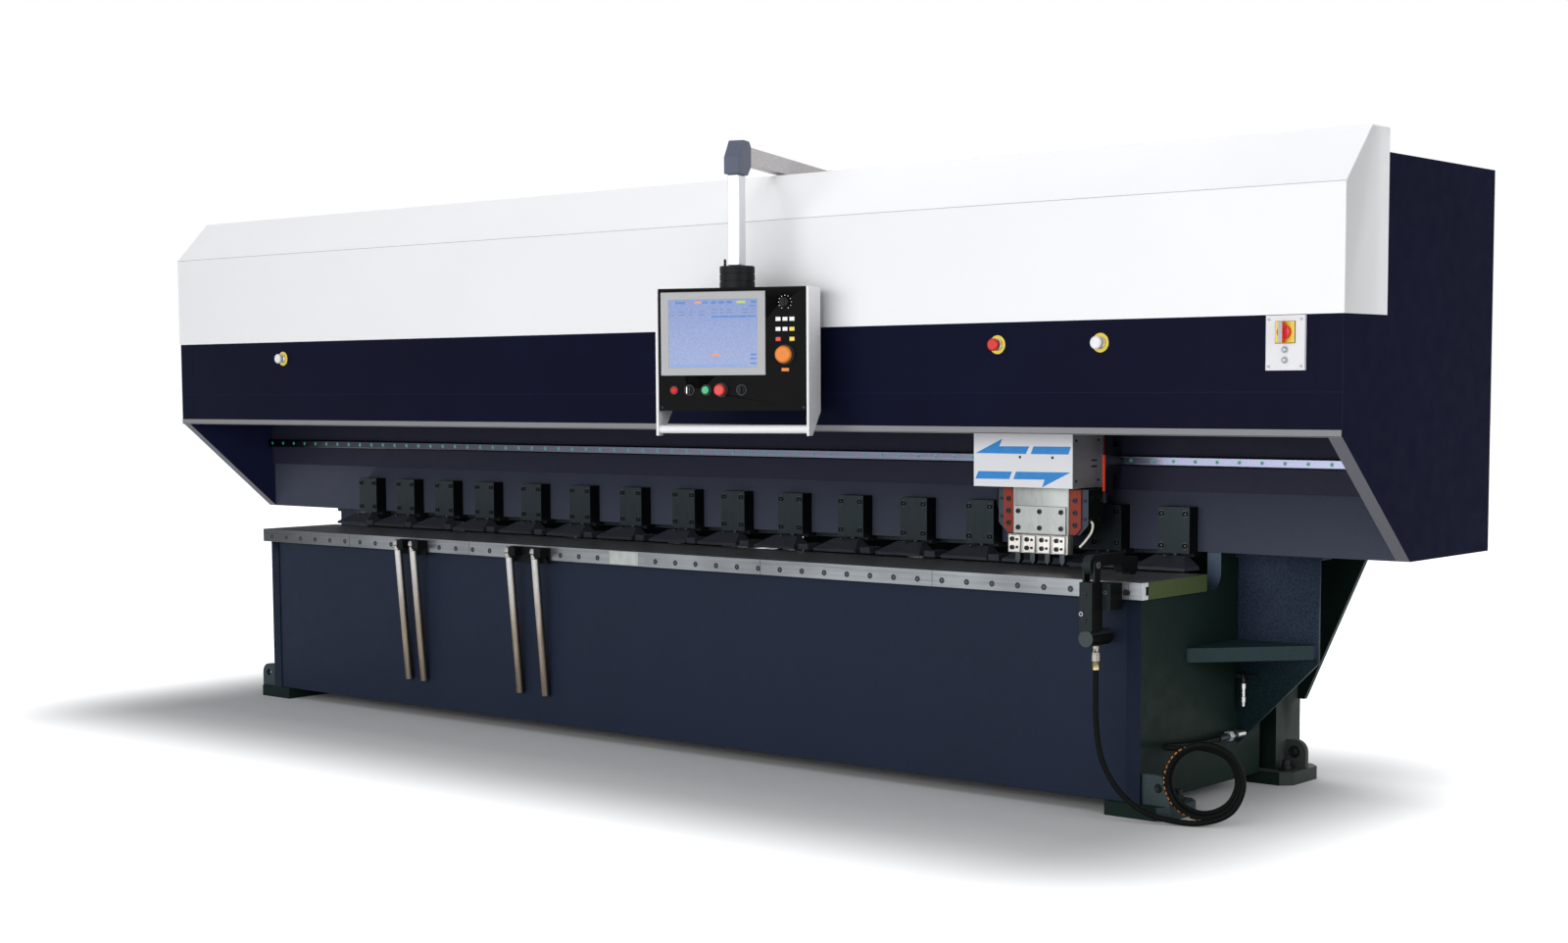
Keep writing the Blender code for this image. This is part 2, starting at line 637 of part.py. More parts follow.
def base_front_panel():
    """Plain front panel between the side plates."""
    half = SIDE_INNER_X - GAP
    front = BASE_FRONT_Y + FRONT_PANEL_RECESS
    low = (-half, front, FOOT_THICKNESS + GAP)
    high = (half, front + FRONT_PANEL_THICKNESS, TABLE_UNDERSIDE_Z - GAP)
    return piece("base_front_panel", "navy", box(low, high))


def base_rear_panel():
    """Rear panel with the two arms that carry the back gauge."""
    half = SIDE_INNER_X - GAP
    low = (-half, REAR_PANEL_Y, FOOT_THICKNESS + GAP)
    panel = box(low, (half, REAR_PANEL_Y + REAR_PANEL_THICKNESS, REAR_PANEL_TOP_Z))
    arms = bmesh.new()
    for middle in (-GAUGE_ARM_X, GAUGE_ARM_X):
        low = (middle - GAUGE_ARM_WIDTH / 2, GAUGE_ARM_FRONT_Y, REAR_PANEL_TOP_Z - GAUGE_ARM_HEIGHT)
        high = (middle + GAUGE_ARM_WIDTH / 2, BEAM_BACK_Y, REAR_PANEL_TOP_Z + 0.005)
        add_box(arms, low, high)
    screw_z = TABLE_TOP_Z - GAUGE_SCREW_DROP
    stand_top = screw_z + GAUGE_SCREW_RADIUS + 0.015
    stands = []
    for back in (GAUGE_ARM_FRONT_Y + 0.015, BEAM_BACK_Y):
        stands.append(box((-0.030, back - 0.015, REAR_PANEL_TOP_Z - 0.030), (0.030, back, stand_top)))
    rib = box((-0.029, GAUGE_ARM_FRONT_Y + 0.002, REAR_PANEL_TOP_Z - 0.050),
              (0.029, BEAM_BACK_Y - 0.002, REAR_PANEL_TOP_Z - 0.020))
    bore = rod("Y", (0.0, screw_z), GAUGE_SCREW_RADIUS + GAP,
               GAUGE_ARM_FRONT_Y - 0.01, BEAM_BACK_Y + 0.01, 16)
    return piece("base_rear_panel", "frame_green", panel, (arms, rib, *stands), (bore,))


def table_top():
    """Ground steel table slab on the side plates and the front panel."""
    half = TABLE_LENGTH / 2
    low = (-half, SLAB_FRONT_Y, TABLE_UNDERSIDE_Z)
    return piece("table_top", "ground_steel", box(low, (half, TABLE_BACK_Y, TABLE_TOP_Z)))


def table_edge_strip():
    """Bright strip bolted along the table's front edge, grooved along its back."""
    half = TABLE_LENGTH / 2
    back = STRIP_FRONT_Y + STRIP_DEPTH
    middle = TABLE_TOP_Z - TABLE_THICKNESS / 2
    low_z = middle - STRIP_GROOVE_HEIGHT / 2
    high_z = middle + STRIP_GROOVE_HEIGHT / 2
    outline = [
        (STRIP_FRONT_Y, TABLE_UNDERSIDE_Z), (back, TABLE_UNDERSIDE_Z),
        (back, low_z), (back - STRIP_GROOVE_DEPTH, low_z),
        (back - STRIP_GROOVE_DEPTH, high_z), (back, high_z),
        (back, TABLE_TOP_Z), (STRIP_FRONT_Y, TABLE_TOP_Z),
    ]
    return piece("table_edge_strip", "bright_steel", prism("X", outline, -half, half))


# ================================================================ crossbeam and guides
def crossbeam():
    """Hollow two-cell beam with a machined pad for the rails and a rear apron; its ends are open."""
    pad_z = BEAM_BOTTOM_Z + PAD_RISE
    outline = [
        (BEAM_FACE_Y, BEAM_BOTTOM_Z), (BEAM_FACE_Y, pad_z), (RAIL_PAD_Y, pad_z),
        (RAIL_PAD_Y, BEAM_TOP_Z), (BEAM_BACK_Y, BEAM_TOP_Z), (BEAM_BACK_Y, BEAM_BOTTOM_Z),
    ]
    body = prism("X", outline, -BEAM_HALF_LENGTH, BEAM_HALF_LENGTH)
    cells = bmesh.new()
    middle = (BEAM_BOTTOM_Z + BEAM_TOP_Z) / 2
    reach = BEAM_HALF_LENGTH + 0.01
    for bottom, top in ((BEAM_BOTTOM_Z + BEAM_WALL, middle - BEAM_WALL / 2),
                        (middle + BEAM_WALL / 2, BEAM_TOP_Z - BEAM_WALL)):
        add_box(cells, (-reach, BEAM_FACE_Y + BEAM_WALL, bottom), (reach, BEAM_BACK_Y - BEAM_WALL, top))
    apron_back = BEAM_BACK_Y - APRON_CLEARANCE
    low, high = BEAM_BOTTOM_Z - APRON_DROP, BEAM_BOTTOM_Z + BEAM_WALL / 2
    aprons = bmesh.new()
    for side in (-1, 1):        # the gauge screw's bracket stands between the two halves
        add_box(aprons, (side * (GAUGE_BRACKET_HALF_WIDTH + APRON_CLEARANCE), apron_back - APRON_THICKNESS, low),
                (side * (SIDE_INNER_X - APRON_CLEARANCE), apron_back, high))
    return piece("crossbeam", "beam_blue", body, (aprons,), (cells,))


def guide_rail(name, middle):
    """Linear guide rail that the carriage's blocks run on."""
    half = RAIL_WIDTH / 2
    back = RAIL_PAD_Y - GAP
    outline = [
        (RAIL_FACE_Y, middle - half + RAIL_CHAMFER), (RAIL_FACE_Y + RAIL_CHAMFER, middle - half),
        (back, middle - half), (back, middle + half),
        (RAIL_FACE_Y + RAIL_CHAMFER, middle + half), (RAIL_FACE_Y, middle + half - RAIL_CHAMFER),
    ]
    reach = BEAM_HALF_LENGTH - 0.002
    return piece(name, "bright_steel", prism("X", outline, -reach, reach))


def gear_rack():
    """Rack between the rails, above the pinion."""
    bottom = PINION_Z + PINION_RADIUS + 0.0005
    reach = BEAM_HALF_LENGTH - 0.002
    low = (-reach, RAIL_FACE_Y, bottom)
    return piece("gear_rack", "dark_steel", box(low, (reach, RAIL_PAD_Y - GAP, bottom + RACK_SIZE)))


# ================================================================ clamps
def clamp_places():
    """Middles of the clamps along X, wide pitches near the middle and narrow ones outside."""
    limit = TABLE_LENGTH / 2 - CLAMP_END_MARGIN
    right = [CLAMP_FIRST_X]
    while True:
        pitch = CLAMP_WIDE_PITCH if len(right) <= CLAMP_WIDE_COUNT else CLAMP_NARROW_PITCH
        if right[-1] + pitch > limit:
            break
        right.append(right[-1] + pitch)
    return [-x for x in reversed(right)] + right


def clamp_cylinder_row():
    """Clamp cylinder blocks on the beam's face, fed by one manifold bar under the beam."""
    places = clamp_places()
    blocks = bmesh.new()
    top = CLAMP_BOTTOM_Z + CLAMP_HEIGHT
    port_y = BEAM_FACE_Y + MANIFOLD_REACH
    pipe_z = BEAM_BOTTOM_Z - GAP
    for x in places:
        outline = [
            (CLAMP_FRONT_Y, CLAMP_BOTTOM_Z), (CLAMP_FRONT_Y, top), (BEAM_FACE_Y - GAP, top),
            (BEAM_FACE_Y - GAP, pipe_z), (port_y, pipe_z), (port_y, CLAMP_BOTTOM_Z - 0.012),
            (CLAMP_FRONT_Y + 0.030, CLAMP_BOTTOM_Z - 0.012), (CLAMP_FRONT_Y + 0.030, CLAMP_BOTTOM_Z),
        ]
        add_prism(blocks, "X", outline, x - CLAMP_WIDTH / 2, x + CLAMP_WIDTH / 2)
    low = (places[0], port_y - MANIFOLD_SIZE - 0.002, CLAMP_BOTTOM_Z - 0.010)
    bar = box(low, (places[-1], port_y - 0.002, pipe_z - 0.0005))
    bores = bmesh.new()
    for x in places:
        hole = circle((x, ROD_Y), PRESS_ROD_RADIUS + GAP, 12)
        add_prism(bores, "Z", hole, CLAMP_BOTTOM_Z - 0.020, CLAMP_BOTTOM_Z + PRESS_ROD_REACH + 0.005)
    return piece("clamp_cylinder_row", "black_steel", bar, (blocks,), (bores,))


def add_press_foot(bm, x, bottom, top):
    """Wedge foot: wide at its nose, narrow at its ridge, sloping down to the front."""
    wide = PRESS_FOOT_WIDTH / 2
    narrow = PRESS_FOOT_TOP_WIDTH / 2
    ridge_y = PRESS_FOOT_BACK_Y - PRESS_FOOT_RIDGE
    places = [
        (x - wide, PRESS_FOOT_FRONT_Y, bottom), (x + wide, PRESS_FOOT_FRONT_Y, bottom),
        (x + wide, PRESS_FOOT_BACK_Y, bottom), (x - wide, PRESS_FOOT_BACK_Y, bottom),
        (x - wide, PRESS_FOOT_FRONT_Y, bottom + PRESS_FOOT_NOSE),
        (x + wide, PRESS_FOOT_FRONT_Y, bottom + PRESS_FOOT_NOSE),
        (x + narrow, ridge_y, top), (x + narrow, PRESS_FOOT_BACK_Y, top),
        (x - narrow, PRESS_FOOT_BACK_Y, top), (x - narrow, ridge_y, top),
        (x + wide, PRESS_FOOT_BACK_Y, bottom + PRESS_FOOT_NOSE),
        (x - wide, PRESS_FOOT_BACK_Y, bottom + PRESS_FOOT_NOSE),
    ]
    verts = [bm.verts.new(place) for place in places]
    loops = (
        (0, 3, 2, 1), (0, 1, 5, 4), (4, 5, 6, 9), (9, 6, 7, 8), (1, 2, 10, 5),
        (5, 10, 7, 6), (3, 0, 4, 11), (11, 4, 9, 8), (2, 3, 11, 10), (10, 11, 8, 7),
    )
    faces = [bm.faces.new([verts[i] for i in loop]) for loop in loops]
    bmesh.ops.triangulate(bm, faces=faces)
    bmesh.ops.recalc_face_normals(bm, faces=bm.faces)


def press_foot_row():
    """Press feet, the tabs that close the gaps between them and the bar behind that links them."""
    places = clamp_places()
    bottom = TABLE_TOP_Z + PRESS_TRAVEL
    top = CLAMP_BOTTOM_Z - GAP - 0.005
    feet = bmesh.new()
    for x in places:
        add_press_foot(feet, x, bottom, top)
    tabs = bmesh.new()
    for left, right in zip(places, places[1:]):
        x = (left + right) / 2
        low = (x - PRESS_TAB_WIDTH / 2, PRESS_FOOT_FRONT_Y - 0.003, bottom + 0.0005)
        high = (x + PRESS_TAB_WIDTH / 2, PRESS_FOOT_BACK_Y - 0.020, bottom + PRESS_TAB_HEIGHT)
        add_box(tabs, low, high)
    pads = bmesh.new()
    rods = bmesh.new()
    for x in places:
        add_box(pads, (x - 0.030, PRESS_FOOT_BACK_Y - 0.010, top - 0.020), (x + 0.030, ROD_Y + 0.010, top - 0.001))
        add_prism(rods, "Z", circle((x, ROD_Y), PRESS_ROD_RADIUS, 12), top - 0.010, CLAMP_BOTTOM_Z + PRESS_ROD_REACH)
    low = (places[0], PRESS_FOOT_BACK_Y - 0.030, bottom + 0.0010)
    high = (places[-1], PRESS_FOOT_BACK_Y - 0.004, bottom + PRESS_BAR_HEIGHT)
    return piece("press_foot_row", "dark_steel", box(low, high), (feet, tabs, pads, rods))


# ================================================================ hood
def hood_front_panel():
    """Front sheet of the hood with folded lips, and holes for its buttons."""
    half = HOOD_LENGTH / 2
    back = HOOD_FRONT_Y + SHEET
    top = CAP_BOTTOM_Z - GAP
    sheet = box((-half, HOOD_FRONT_Y, HOOD_EDGE_Z), (half, back, top))
    lips = bmesh.new()
    reach = HOOD_INNER_X - GAP
    add_box(lips, (-reach, back - 0.001, HOOD_EDGE_Z), (reach, HOOD_FRONT_Y + HOOD_LIP_DEPTH, HOOD_EDGE_Z + SHEET))
    add_box(lips, (-reach, back - 0.001, top - SHEET), (reach, back + HOOD_FLANGE, top))
    holes = bmesh.new()
    for x in HOOD_BUTTON_X:
        hole = circle((x, HOOD_BUTTON_Z), BUTTON_STEM_RADIUS + GAP, 20)
        add_prism(holes, "Y", hole, HOOD_FRONT_Y - 0.01, back + 0.01)
    return piece("hood_front_panel", "navy", sheet, (lips,), (holes,))


def hood_side(side, name):
    """End plate of the hood, cut back below to the crossbeam."""
    front = HOOD_FRONT_Y + SHEET + GAP
    slope_x = CAP_SLOPE_DEPTH
    inner_back = CAP_BACK_Y - SHEET - GAP
    fold_y = HOOD_FRONT_Y - CAP_PROUD + slope_x
    drop = SHEET + 0.002
    outline = [
        (front, HOOD_EDGE_Z), (BEAM_FACE_Y, BEAM_BOTTOM_Z), (HOOD_BACK_Y, BEAM_BOTTOM_Z),
        (HOOD_BACK_Y, ROOF_Z), (inner_back, ROOF_Z), (inner_back, CAP_TOP_Z - drop),
        (fold_y + 0.001, CAP_TOP_Z - drop), (front, CAP_FOLD_Z - drop + 0.002),
    ]
    return piece(name, "navy", prism("X", outline, side * HOOD_INNER_X, side * HOOD_LENGTH / 2))


def hood_rear_casing():
    """Roof and rear sheet of the hood, folded from one length."""
    reach = HOOD_INNER_X - GAP
    outline = [
        (ROOF_FRONT_Y, ROOF_Z - SHEET), (HOOD_BACK_Y - SHEET, ROOF_Z - SHEET),
        (HOOD_BACK_Y - SHEET, BEAM_BOTTOM_Z), (HOOD_BACK_Y, BEAM_BOTTOM_Z),
        (HOOD_BACK_Y, ROOF_Z), (ROOF_FRONT_Y, ROOF_Z),
    ]
    return piece("hood_rear_casing", "navy", prism("X", outline, -reach, reach))


def cap_outline(inset):
    """Outline of the cap seen from the end, drawn inwards by an inset."""
    front = HOOD_FRONT_Y - CAP_PROUD
    lean = math.atan2(CAP_TOP_Z - CAP_FOLD_Z, CAP_SLOPE_DEPTH)
    low_shift = inset * math.tan((math.pi / 2 - lean) / 2)
    top_shift = inset * math.tan(lean / 2)
    return [
        (front + inset, CAP_FOLD_Z - low_shift),
        (front + CAP_SLOPE_DEPTH + top_shift, CAP_TOP_Z - inset),
        (CAP_BACK_Y - inset, CAP_TOP_Z - inset),
    ]


def hood_cap():
    """White cap that folds over the top front of the hood, with a skirt at each end."""
    front = HOOD_FRONT_Y - CAP_PROUD
    seat = ROOF_Z + GAP
    outer = cap_outline(0.0)
    inner = cap_outline(SHEET)
    outline = [(front, CAP_BOTTOM_Z), *outer, (CAP_BACK_Y, seat), (CAP_BACK_Y - SHEET, seat)]
    outline += [*reversed(inner), (front + SHEET, CAP_BOTTOM_Z)]
    face = HOOD_LENGTH / 2 + GAP
    shell = prism("X", outline, -face - SHEET, face + SHEET)
    skirts = bmesh.new()
    skirt = [(front + 0.0005, CAP_BOTTOM_Z), *cap_outline(0.0005), (CAP_BACK_Y - 0.0005, CAP_BOTTOM_Z)]
    for side in (-1, 1):
        add_prism(skirts, "X", skirt, side * face, side * (face + SHEET - 0.0005))
    return piece("hood_cap", "white", shell, (skirts,))


def push_button(name, colour, x, z, face_y, stem, head, parent=None):
    """Button on a panel: stem (radius, depth) in its bore and head (radius, stand, thickness)."""
    stem_radius, stem_depth = stem
    radius, stand, thickness = head
    back = face_y - stand
    profile = [
        (face_y + stem_depth, stem_radius), (back, stem_radius), (back - 0.001, radius),
        (back - thickness * 0.7, radius), (back - thickness, radius * 0.82),
    ]
    return piece(name, colour, turned("Y", (x, z), profile, 24), parent=parent)


def hood_buttons():
    """Three large push buttons along the hood."""
    names = ("hood_button_left", "hood_button_red", "hood_button_right")
    colours = ("button_white", "red", "button_white")
    stem = (BUTTON_STEM_RADIUS, SHEET + 0.010)
    head = (BUTTON_HEAD_RADIUS, BUTTON_STAND, BUTTON_HEAD_DEPTH)
    for name, colour, x in zip(names, colours, HOOD_BUTTON_X):
        push_button(name, colour, x, HOOD_BUTTON_Z, HOOD_FRONT_Y, stem, head)


def main_switch():
    """Switch plate on the hood with its rotary handle, start button and stop button."""
    middle = HOOD_LENGTH / 2 - SWITCH_PLATE_INSET
    back = HOOD_FRONT_Y - GAP
    front = back - SWITCH_PLATE_DEPTH
    low = (middle - SWITCH_PLATE_WIDTH / 2, front, SWITCH_PLATE_Z - SWITCH_PLATE_HEIGHT / 2)
    high = (middle + SWITCH_PLATE_WIDTH / 2, back, SWITCH_PLATE_Z + SWITCH_PLATE_HEIGHT / 2)
    handle_z = SWITCH_PLATE_Z + SWITCH_RISE
    holes = bmesh.new()
    add_prism(holes, "Y", circle((middle, handle_z), 0.008 + GAP, 20), front - 0.01, back - 0.003)
    for drop in SMALL_BUTTON_DROPS:
        hole = circle((middle, SWITCH_PLATE_Z - drop), SMALL_BUTTON_RADIUS + GAP, 20)
        add_prism(holes, "Y", hole, front - 0.01, back - 0.003)
    piece("main_switch_plate", "plate_grey", box(low, high), cut=(holes,))
    disc = turned("Y", (middle, handle_z), [(back - 0.004, 0.008), (front - 0.001, 0.008),
                                            (front - 0.0012, SWITCH_DISC_RADIUS), (front - 0.012, SWITCH_DISC_RADIUS),
                                            (front - 0.014, SWITCH_DISC_RADIUS * 0.9)], 28)
    grip = box((middle - 0.007, front - 0.032, handle_z - 0.030), (middle + 0.007, front - 0.011, handle_z + 0.030))
    piece("main_switch_handle", "red", disc, (grip,))
    for name, colour, drop in zip(("start_button", "stop_button"), ("green", "red"), SMALL_BUTTON_DROPS):
        z = SWITCH_PLATE_Z - drop
        profile = [(back - 0.0065, SMALL_BUTTON_RADIUS), (front - 0.004, SMALL_BUTTON_RADIUS),
                   (front - 0.005, SMALL_BUTTON_RADIUS * 0.85)]
        piece(name, colour, turned("Y", (middle, z), profile, 24))


# ================================================================ pendant and arm
def swing_arm():
    """Roof bearing, swinging arm, elbow and drop tube of the pendant."""
    centre = (ARM_PIVOT_X, ARM_PIVOT_Y)
    seat = ROOF_Z + GAP
    profile = [(seat, BASE_FLANGE_RADIUS), (seat + BASE_FLANGE_THICKNESS, BASE_FLANGE_RADIUS),
               (seat + BASE_FLANGE_THICKNESS, ARM_HUB_RADIUS - 0.004), (ARM_BOTTOM_Z - GAP, ARM_HUB_RADIUS - 0.004)]
    piece("arm_base", "dark_steel", turned("Z", centre, profile, 32))
    swing = pivot("arm_pivot", (*centre, 0.0), ARM_ANGLE)
    top = ARM_BOTTOM_Z + ARM_HEIGHT
    hub = rod("Z", (0.0, 0.0), ARM_HUB_RADIUS, ARM_BOTTOM_Z, top, 32)
    tube = box((-ARM_WIDTH / 2, -ARM_LENGTH + ELBOW_BACK + GAP, ARM_BOTTOM_Z + 0.0005), (ARM_WIDTH / 2, 0.0, top - 0.0005))
    piece("arm_tube", "aluminium", hub, (tube,), parent=swing)
    front = -ARM_LENGTH - ELBOW_FRONT
    back = -ARM_LENGTH + ELBOW_BACK
    crown = top + ELBOW_RISE
    outline = [(front, ELBOW_BOTTOM_Z), (back - 0.035, ELBOW_BOTTOM_Z), (back, ELBOW_BOTTOM_Z + 0.032),
               (back, crown - 0.017), (back - 0.018, crown), (front + ELBOW_SLOPE, crown),
               (front, ELBOW_BOTTOM_Z + 0.056)]
    piece("arm_elbow", "dark_steel", prism("X", outline, -ELBOW_WIDTH / 2, ELBOW_WIDTH / 2), parent=swing)
    low = (-DROP_TUBE_WIDTH / 2, -ARM_LENGTH - DROP_TUBE_DEPTH / 2, DROP_TUBE_BOTTOM_Z)
    piece("drop_tube", "aluminium", box(low, (DROP_TUBE_WIDTH / 2, -ARM_LENGTH + DROP_TUBE_DEPTH / 2, DROP_TUBE_TOP_Z)),
          parent=swing)
    return swing


def pendant_swivel(parent):
    """Ringed bearing between the drop tube and the pendant."""
    low = SWIVEL_TOP_Z - SWIVEL_HEIGHT
    step = SWIVEL_HEIGHT / 3
    profile = []
    for i in range(3):
        profile += [(low + i * step, SWIVEL_RADIUS), (low + (i + 1) * step - 0.003, SWIVEL_RADIUS)]
        if i < 2:
            profile += [(low + (i + 1) * step - 0.003, SWIVEL_RADIUS - 0.004), (low + (i + 1) * step, SWIVEL_RADIUS - 0.004)]
    profile += [(SWIVEL_TOP_Z, SWIVEL_RADIUS - 0.004)]
    profile = [profile[0]] + [step for last, step in zip(profile, profile[1:]) if step != last]
    pin = rod("Z", (-SWIVEL_RADIUS + 0.016, 0.0), 0.0045, SWIVEL_TOP_Z - 0.010, SWIVEL_TOP_Z + 0.024, 12)
    piece("pendant_swivel", "black_paint", turned("Z", (0.0, 0.0), profile, 32), (pin,), parent=parent)


def pendant_controls():
    """Every round control on the pendant: name, colour, place, stem radius and head."""
    top = PENDANT_TOP_Z
    row = top - ROW_DROP
    small = CONTROL_STEM_RADIUS
    return (
        ("feed_hold_mushroom", "orange", KNOB_COLUMN, top - ORANGE_DROP, small, (ORANGE_RADIUS, CONTROL_STAND + 0.006, 0.018)),
        ("emergency_stop", "red", STOP_X, row, small, (0.020, CONTROL_STAND + 0.006, 0.016)),
        ("green_button", "green", GREEN_X, row, small, (0.0135, CONTROL_STAND, 0.006)),
    )


def pendant_box(parent):
    """Sheet-metal control box, bored behind every control and open to the swivel above."""
    half = PENDANT_WIDTH / 2
    back = PENDANT_DEPTH / 2
    bottom = PENDANT_TOP_Z - PENDANT_HEIGHT
    body = box((-half, PENDANT_FACE_Y, bottom), (half, back, PENDANT_TOP_Z))
    cavity = box((-half + PENDANT_WALL, PENDANT_FACE_Y + PENDANT_FRONT_WALL, bottom + PENDANT_WALL),
                 (half - PENDANT_WALL, back - PENDANT_WALL, PENDANT_TOP_Z - PENDANT_WALL))
    cable = rod("Z", (0.0, 0.0), CABLE_HOLE_RADIUS, PENDANT_TOP_Z - 0.01, PENDANT_TOP_Z + 0.01, 20)
    bores = bmesh.new()
    places = [(entry[2], entry[3]) for entry in pendant_controls()]
    places += [(KNOB_COLUMN, PENDANT_TOP_Z - SPEED_KNOB_DROP)]
    places += [(KEY_X, PENDANT_TOP_Z - ROW_DROP), (SELECTOR_X, PENDANT_TOP_Z - ROW_DROP)]
    for place in places:
        hole = circle(place, CONTROL_STEM_RADIUS + GAP, 20)
        add_prism(bores, "Y", hole, PENDANT_FACE_Y - 0.01, PENDANT_FACE_Y + CONTROL_BORE_DEPTH)
    piece("pendant_box", "black_paint", body, cut=(cavity, cable, bores), parent=parent)


def pendant_frame(parent):
    """Two cheek plates beside the box and the round handle between them."""
    bottom = PENDANT_TOP_Z - PENDANT_HEIGHT
    handle_z = bottom - HANDLE_DROP
    front = PENDANT_FACE_Y - PENDANT_SIDE_PROUD
    back = -front
    outline = [(front, PENDANT_TOP_Z), (back, PENDANT_TOP_Z), (back, bottom - 0.004),
               (front + 0.040, handle_z - 0.022), (front, handle_z - 0.022)]
    inner = PENDANT_WIDTH / 2 + GAP
    handle = rod("X", (PENDANT_FACE_Y + 0.010, handle_z), HANDLE_RADIUS, -inner - 0.002, inner + 0.002, 20)
    other = prism("X", outline, -inner, -inner - PENDANT_SIDE_THICKNESS)
    frame = prism("X", outline, inner, inner + PENDANT_SIDE_THICKNESS)
    piece("pendant_handle_frame", "aluminium", handle, (frame, other), parent=parent)


def pendant_screen(parent):
    """Bezel with the display sunk in it."""
    left = -PENDANT_WIDTH / 2 + BEZEL_LEFT
    top = PENDANT_TOP_Z - BEZEL_TOP
    face = PENDANT_FACE_Y - GAP
    front = face - BEZEL_DEPTH
    body = box((left, front, top - BEZEL_HEIGHT), (left + BEZEL_WIDTH, face, top))
    margin_side = 0.028
    recess = box((left + margin_side, front - 0.01, top - BEZEL_HEIGHT + 0.026),
                 (left + BEZEL_WIDTH - margin_side, front + 0.0025, top - 0.026))
    piece("pendant_screen", "plate_grey", body, cut=(recess,), parent=parent)


def rotary(name, colour, x, z, radius, height, grip, parent):
    """Rotary control: stem in its bore, skirt and a grip bar."""
    face = PENDANT_FACE_Y
    profile = [(face + CONTROL_STEM_DEPTH, CONTROL_STEM_RADIUS), (face - GAP, CONTROL_STEM_RADIUS),
               (face - 0.0005, radius), (face - height, radius * 0.9)]
    bar = box((x - grip[0], face - height - grip[1], z - radius * 0.8), (x + grip[0], face - height + 0.001, z + radius * 0.8))
    piece(name, colour, turned("Y", (x, z), profile, 24), (bar,), parent=parent)


def pendant(parent_swing):
    """Swivel, box, frame, screen and all the controls of the pendant."""
    turn = pivot("pendant_pivot", (0.0, -ARM_LENGTH, 0.0), 0.0, parent_swing)
    pendant_swivel(turn)
    pendant_box(turn)
    pendant_frame(turn)
    pendant_screen(turn)
    for name, colour, x, z, radius, head in pendant_controls():
        push_button(name, colour, x, z, PENDANT_FACE_Y, (radius, CONTROL_STEM_DEPTH), head, turn)
    row = PENDANT_TOP_Z - ROW_DROP
    rotary("speed_knob", "black_steel", KNOB_COLUMN, PENDANT_TOP_Z - SPEED_KNOB_DROP, SPEED_KNOB_RADIUS, 0.016,
           (0.003, 0.003), turn)
    rotary("key_switch", "bright_steel", KEY_X, row, 0.0145, 0.006, (0.0015, 0.022), turn)
    rotary("mode_selector", "black_steel", SELECTOR_X, row, 0.0145, 0.008, (0.004, 0.010), turn)


# ================================================================ carriage and head
def carriage_saddle():
    """Saddle plate with four rail blocks, which runs along both rails."""
    left = HEAD_X - COVER_LEFT + GAP
    right = HEAD_X + COVER_RIGHT - GAP
    plate = box((left, SADDLE_FRONT_Y, SADDLE_BOTTOM_Z), (right, SADDLE_BACK_Y, SADDLE_TOP_Z))
    blocks = bmesh.new()
    slots = bmesh.new()
    slot = RAIL_WIDTH / 2 + RUN
    for z in (LOWER_RAIL_Z, UPPER_RAIL_Z):
        for side in (-1, 1):
            x = HEAD_X + side * BLOCK_OFFSET
            add_box(blocks, (x - BLOCK_LENGTH / 2, SADDLE_BACK_Y - OVERLAP, z - BLOCK_HEIGHT / 2),
                    (x + BLOCK_LENGTH / 2, BLOCK_BACK_Y, z + BLOCK_HEIGHT / 2))
        add_box(slots, (left - 0.01, RAIL_FACE_Y - RUN, z - slot), (right + 0.01, BLOCK_BACK_Y + 0.01, z + slot))
    bore = rod("Y", (DRIVE_X, PINION_Z), PINION_SHAFT_RADIUS + GAP, SADDLE_FRONT_Y - 0.01, SADDLE_BACK_Y + 0.01, 20)
    return piece("carriage_saddle", "dark_steel", plate, (blocks,), (slots, bore))


def carriage_motor():
    """Gearbox and motor on the front of the saddle, which turn the drive pinion."""
    back = SADDLE_FRONT_Y - GAP
    half = GEARBOX_SIZE / 2
    front = back - GEARBOX_DEPTH
    gearbox = box((DRIVE_X - half, front, PINION_Z - half), (DRIVE_X + half, back, PINION_Z + half))
    motor = rod("Y", (DRIVE_X, PINION_Z), MOTOR_RADIUS, front - MOTOR_DEPTH, front + 0.002, 28)
    bore = rod("Y", (DRIVE_X, PINION_Z), PINION_SHAFT_RADIUS + GAP, back - 0.022, back + 0.01, 20)
    return piece("carriage_motor", "black_paint", gearbox, (motor,), (bore,))


def drive_pinion():
    """Toothed pinion and its shaft, under the rack."""
    points = []
    root = PINION_RADIUS - 0.007
    for i in range(PINION_TEETH):
        base = 2 * math.pi * (i + 0.25) / PINION_TEETH
        for share, radius in ((0.00, root), (0.14, PINION_RADIUS), (0.36, PINION_RADIUS), (0.50, root)):
            angle = base + share * 2 * math.pi / PINION_TEETH
            points.append((DRIVE_X + radius * math.cos(angle), PINION_Z + radius * math.sin(angle)))
    teeth = prism("Y", points, RAIL_FACE_Y + 0.003, RAIL_PAD_Y - 0.003)
    shaft = rod("Y", (DRIVE_X, PINION_Z), PINION_SHAFT_RADIUS, SADDLE_FRONT_Y - 0.020, RAIL_FACE_Y + 0.010, 20)
    return piece("drive_pinion", "bright_steel", teeth, (shaft,))


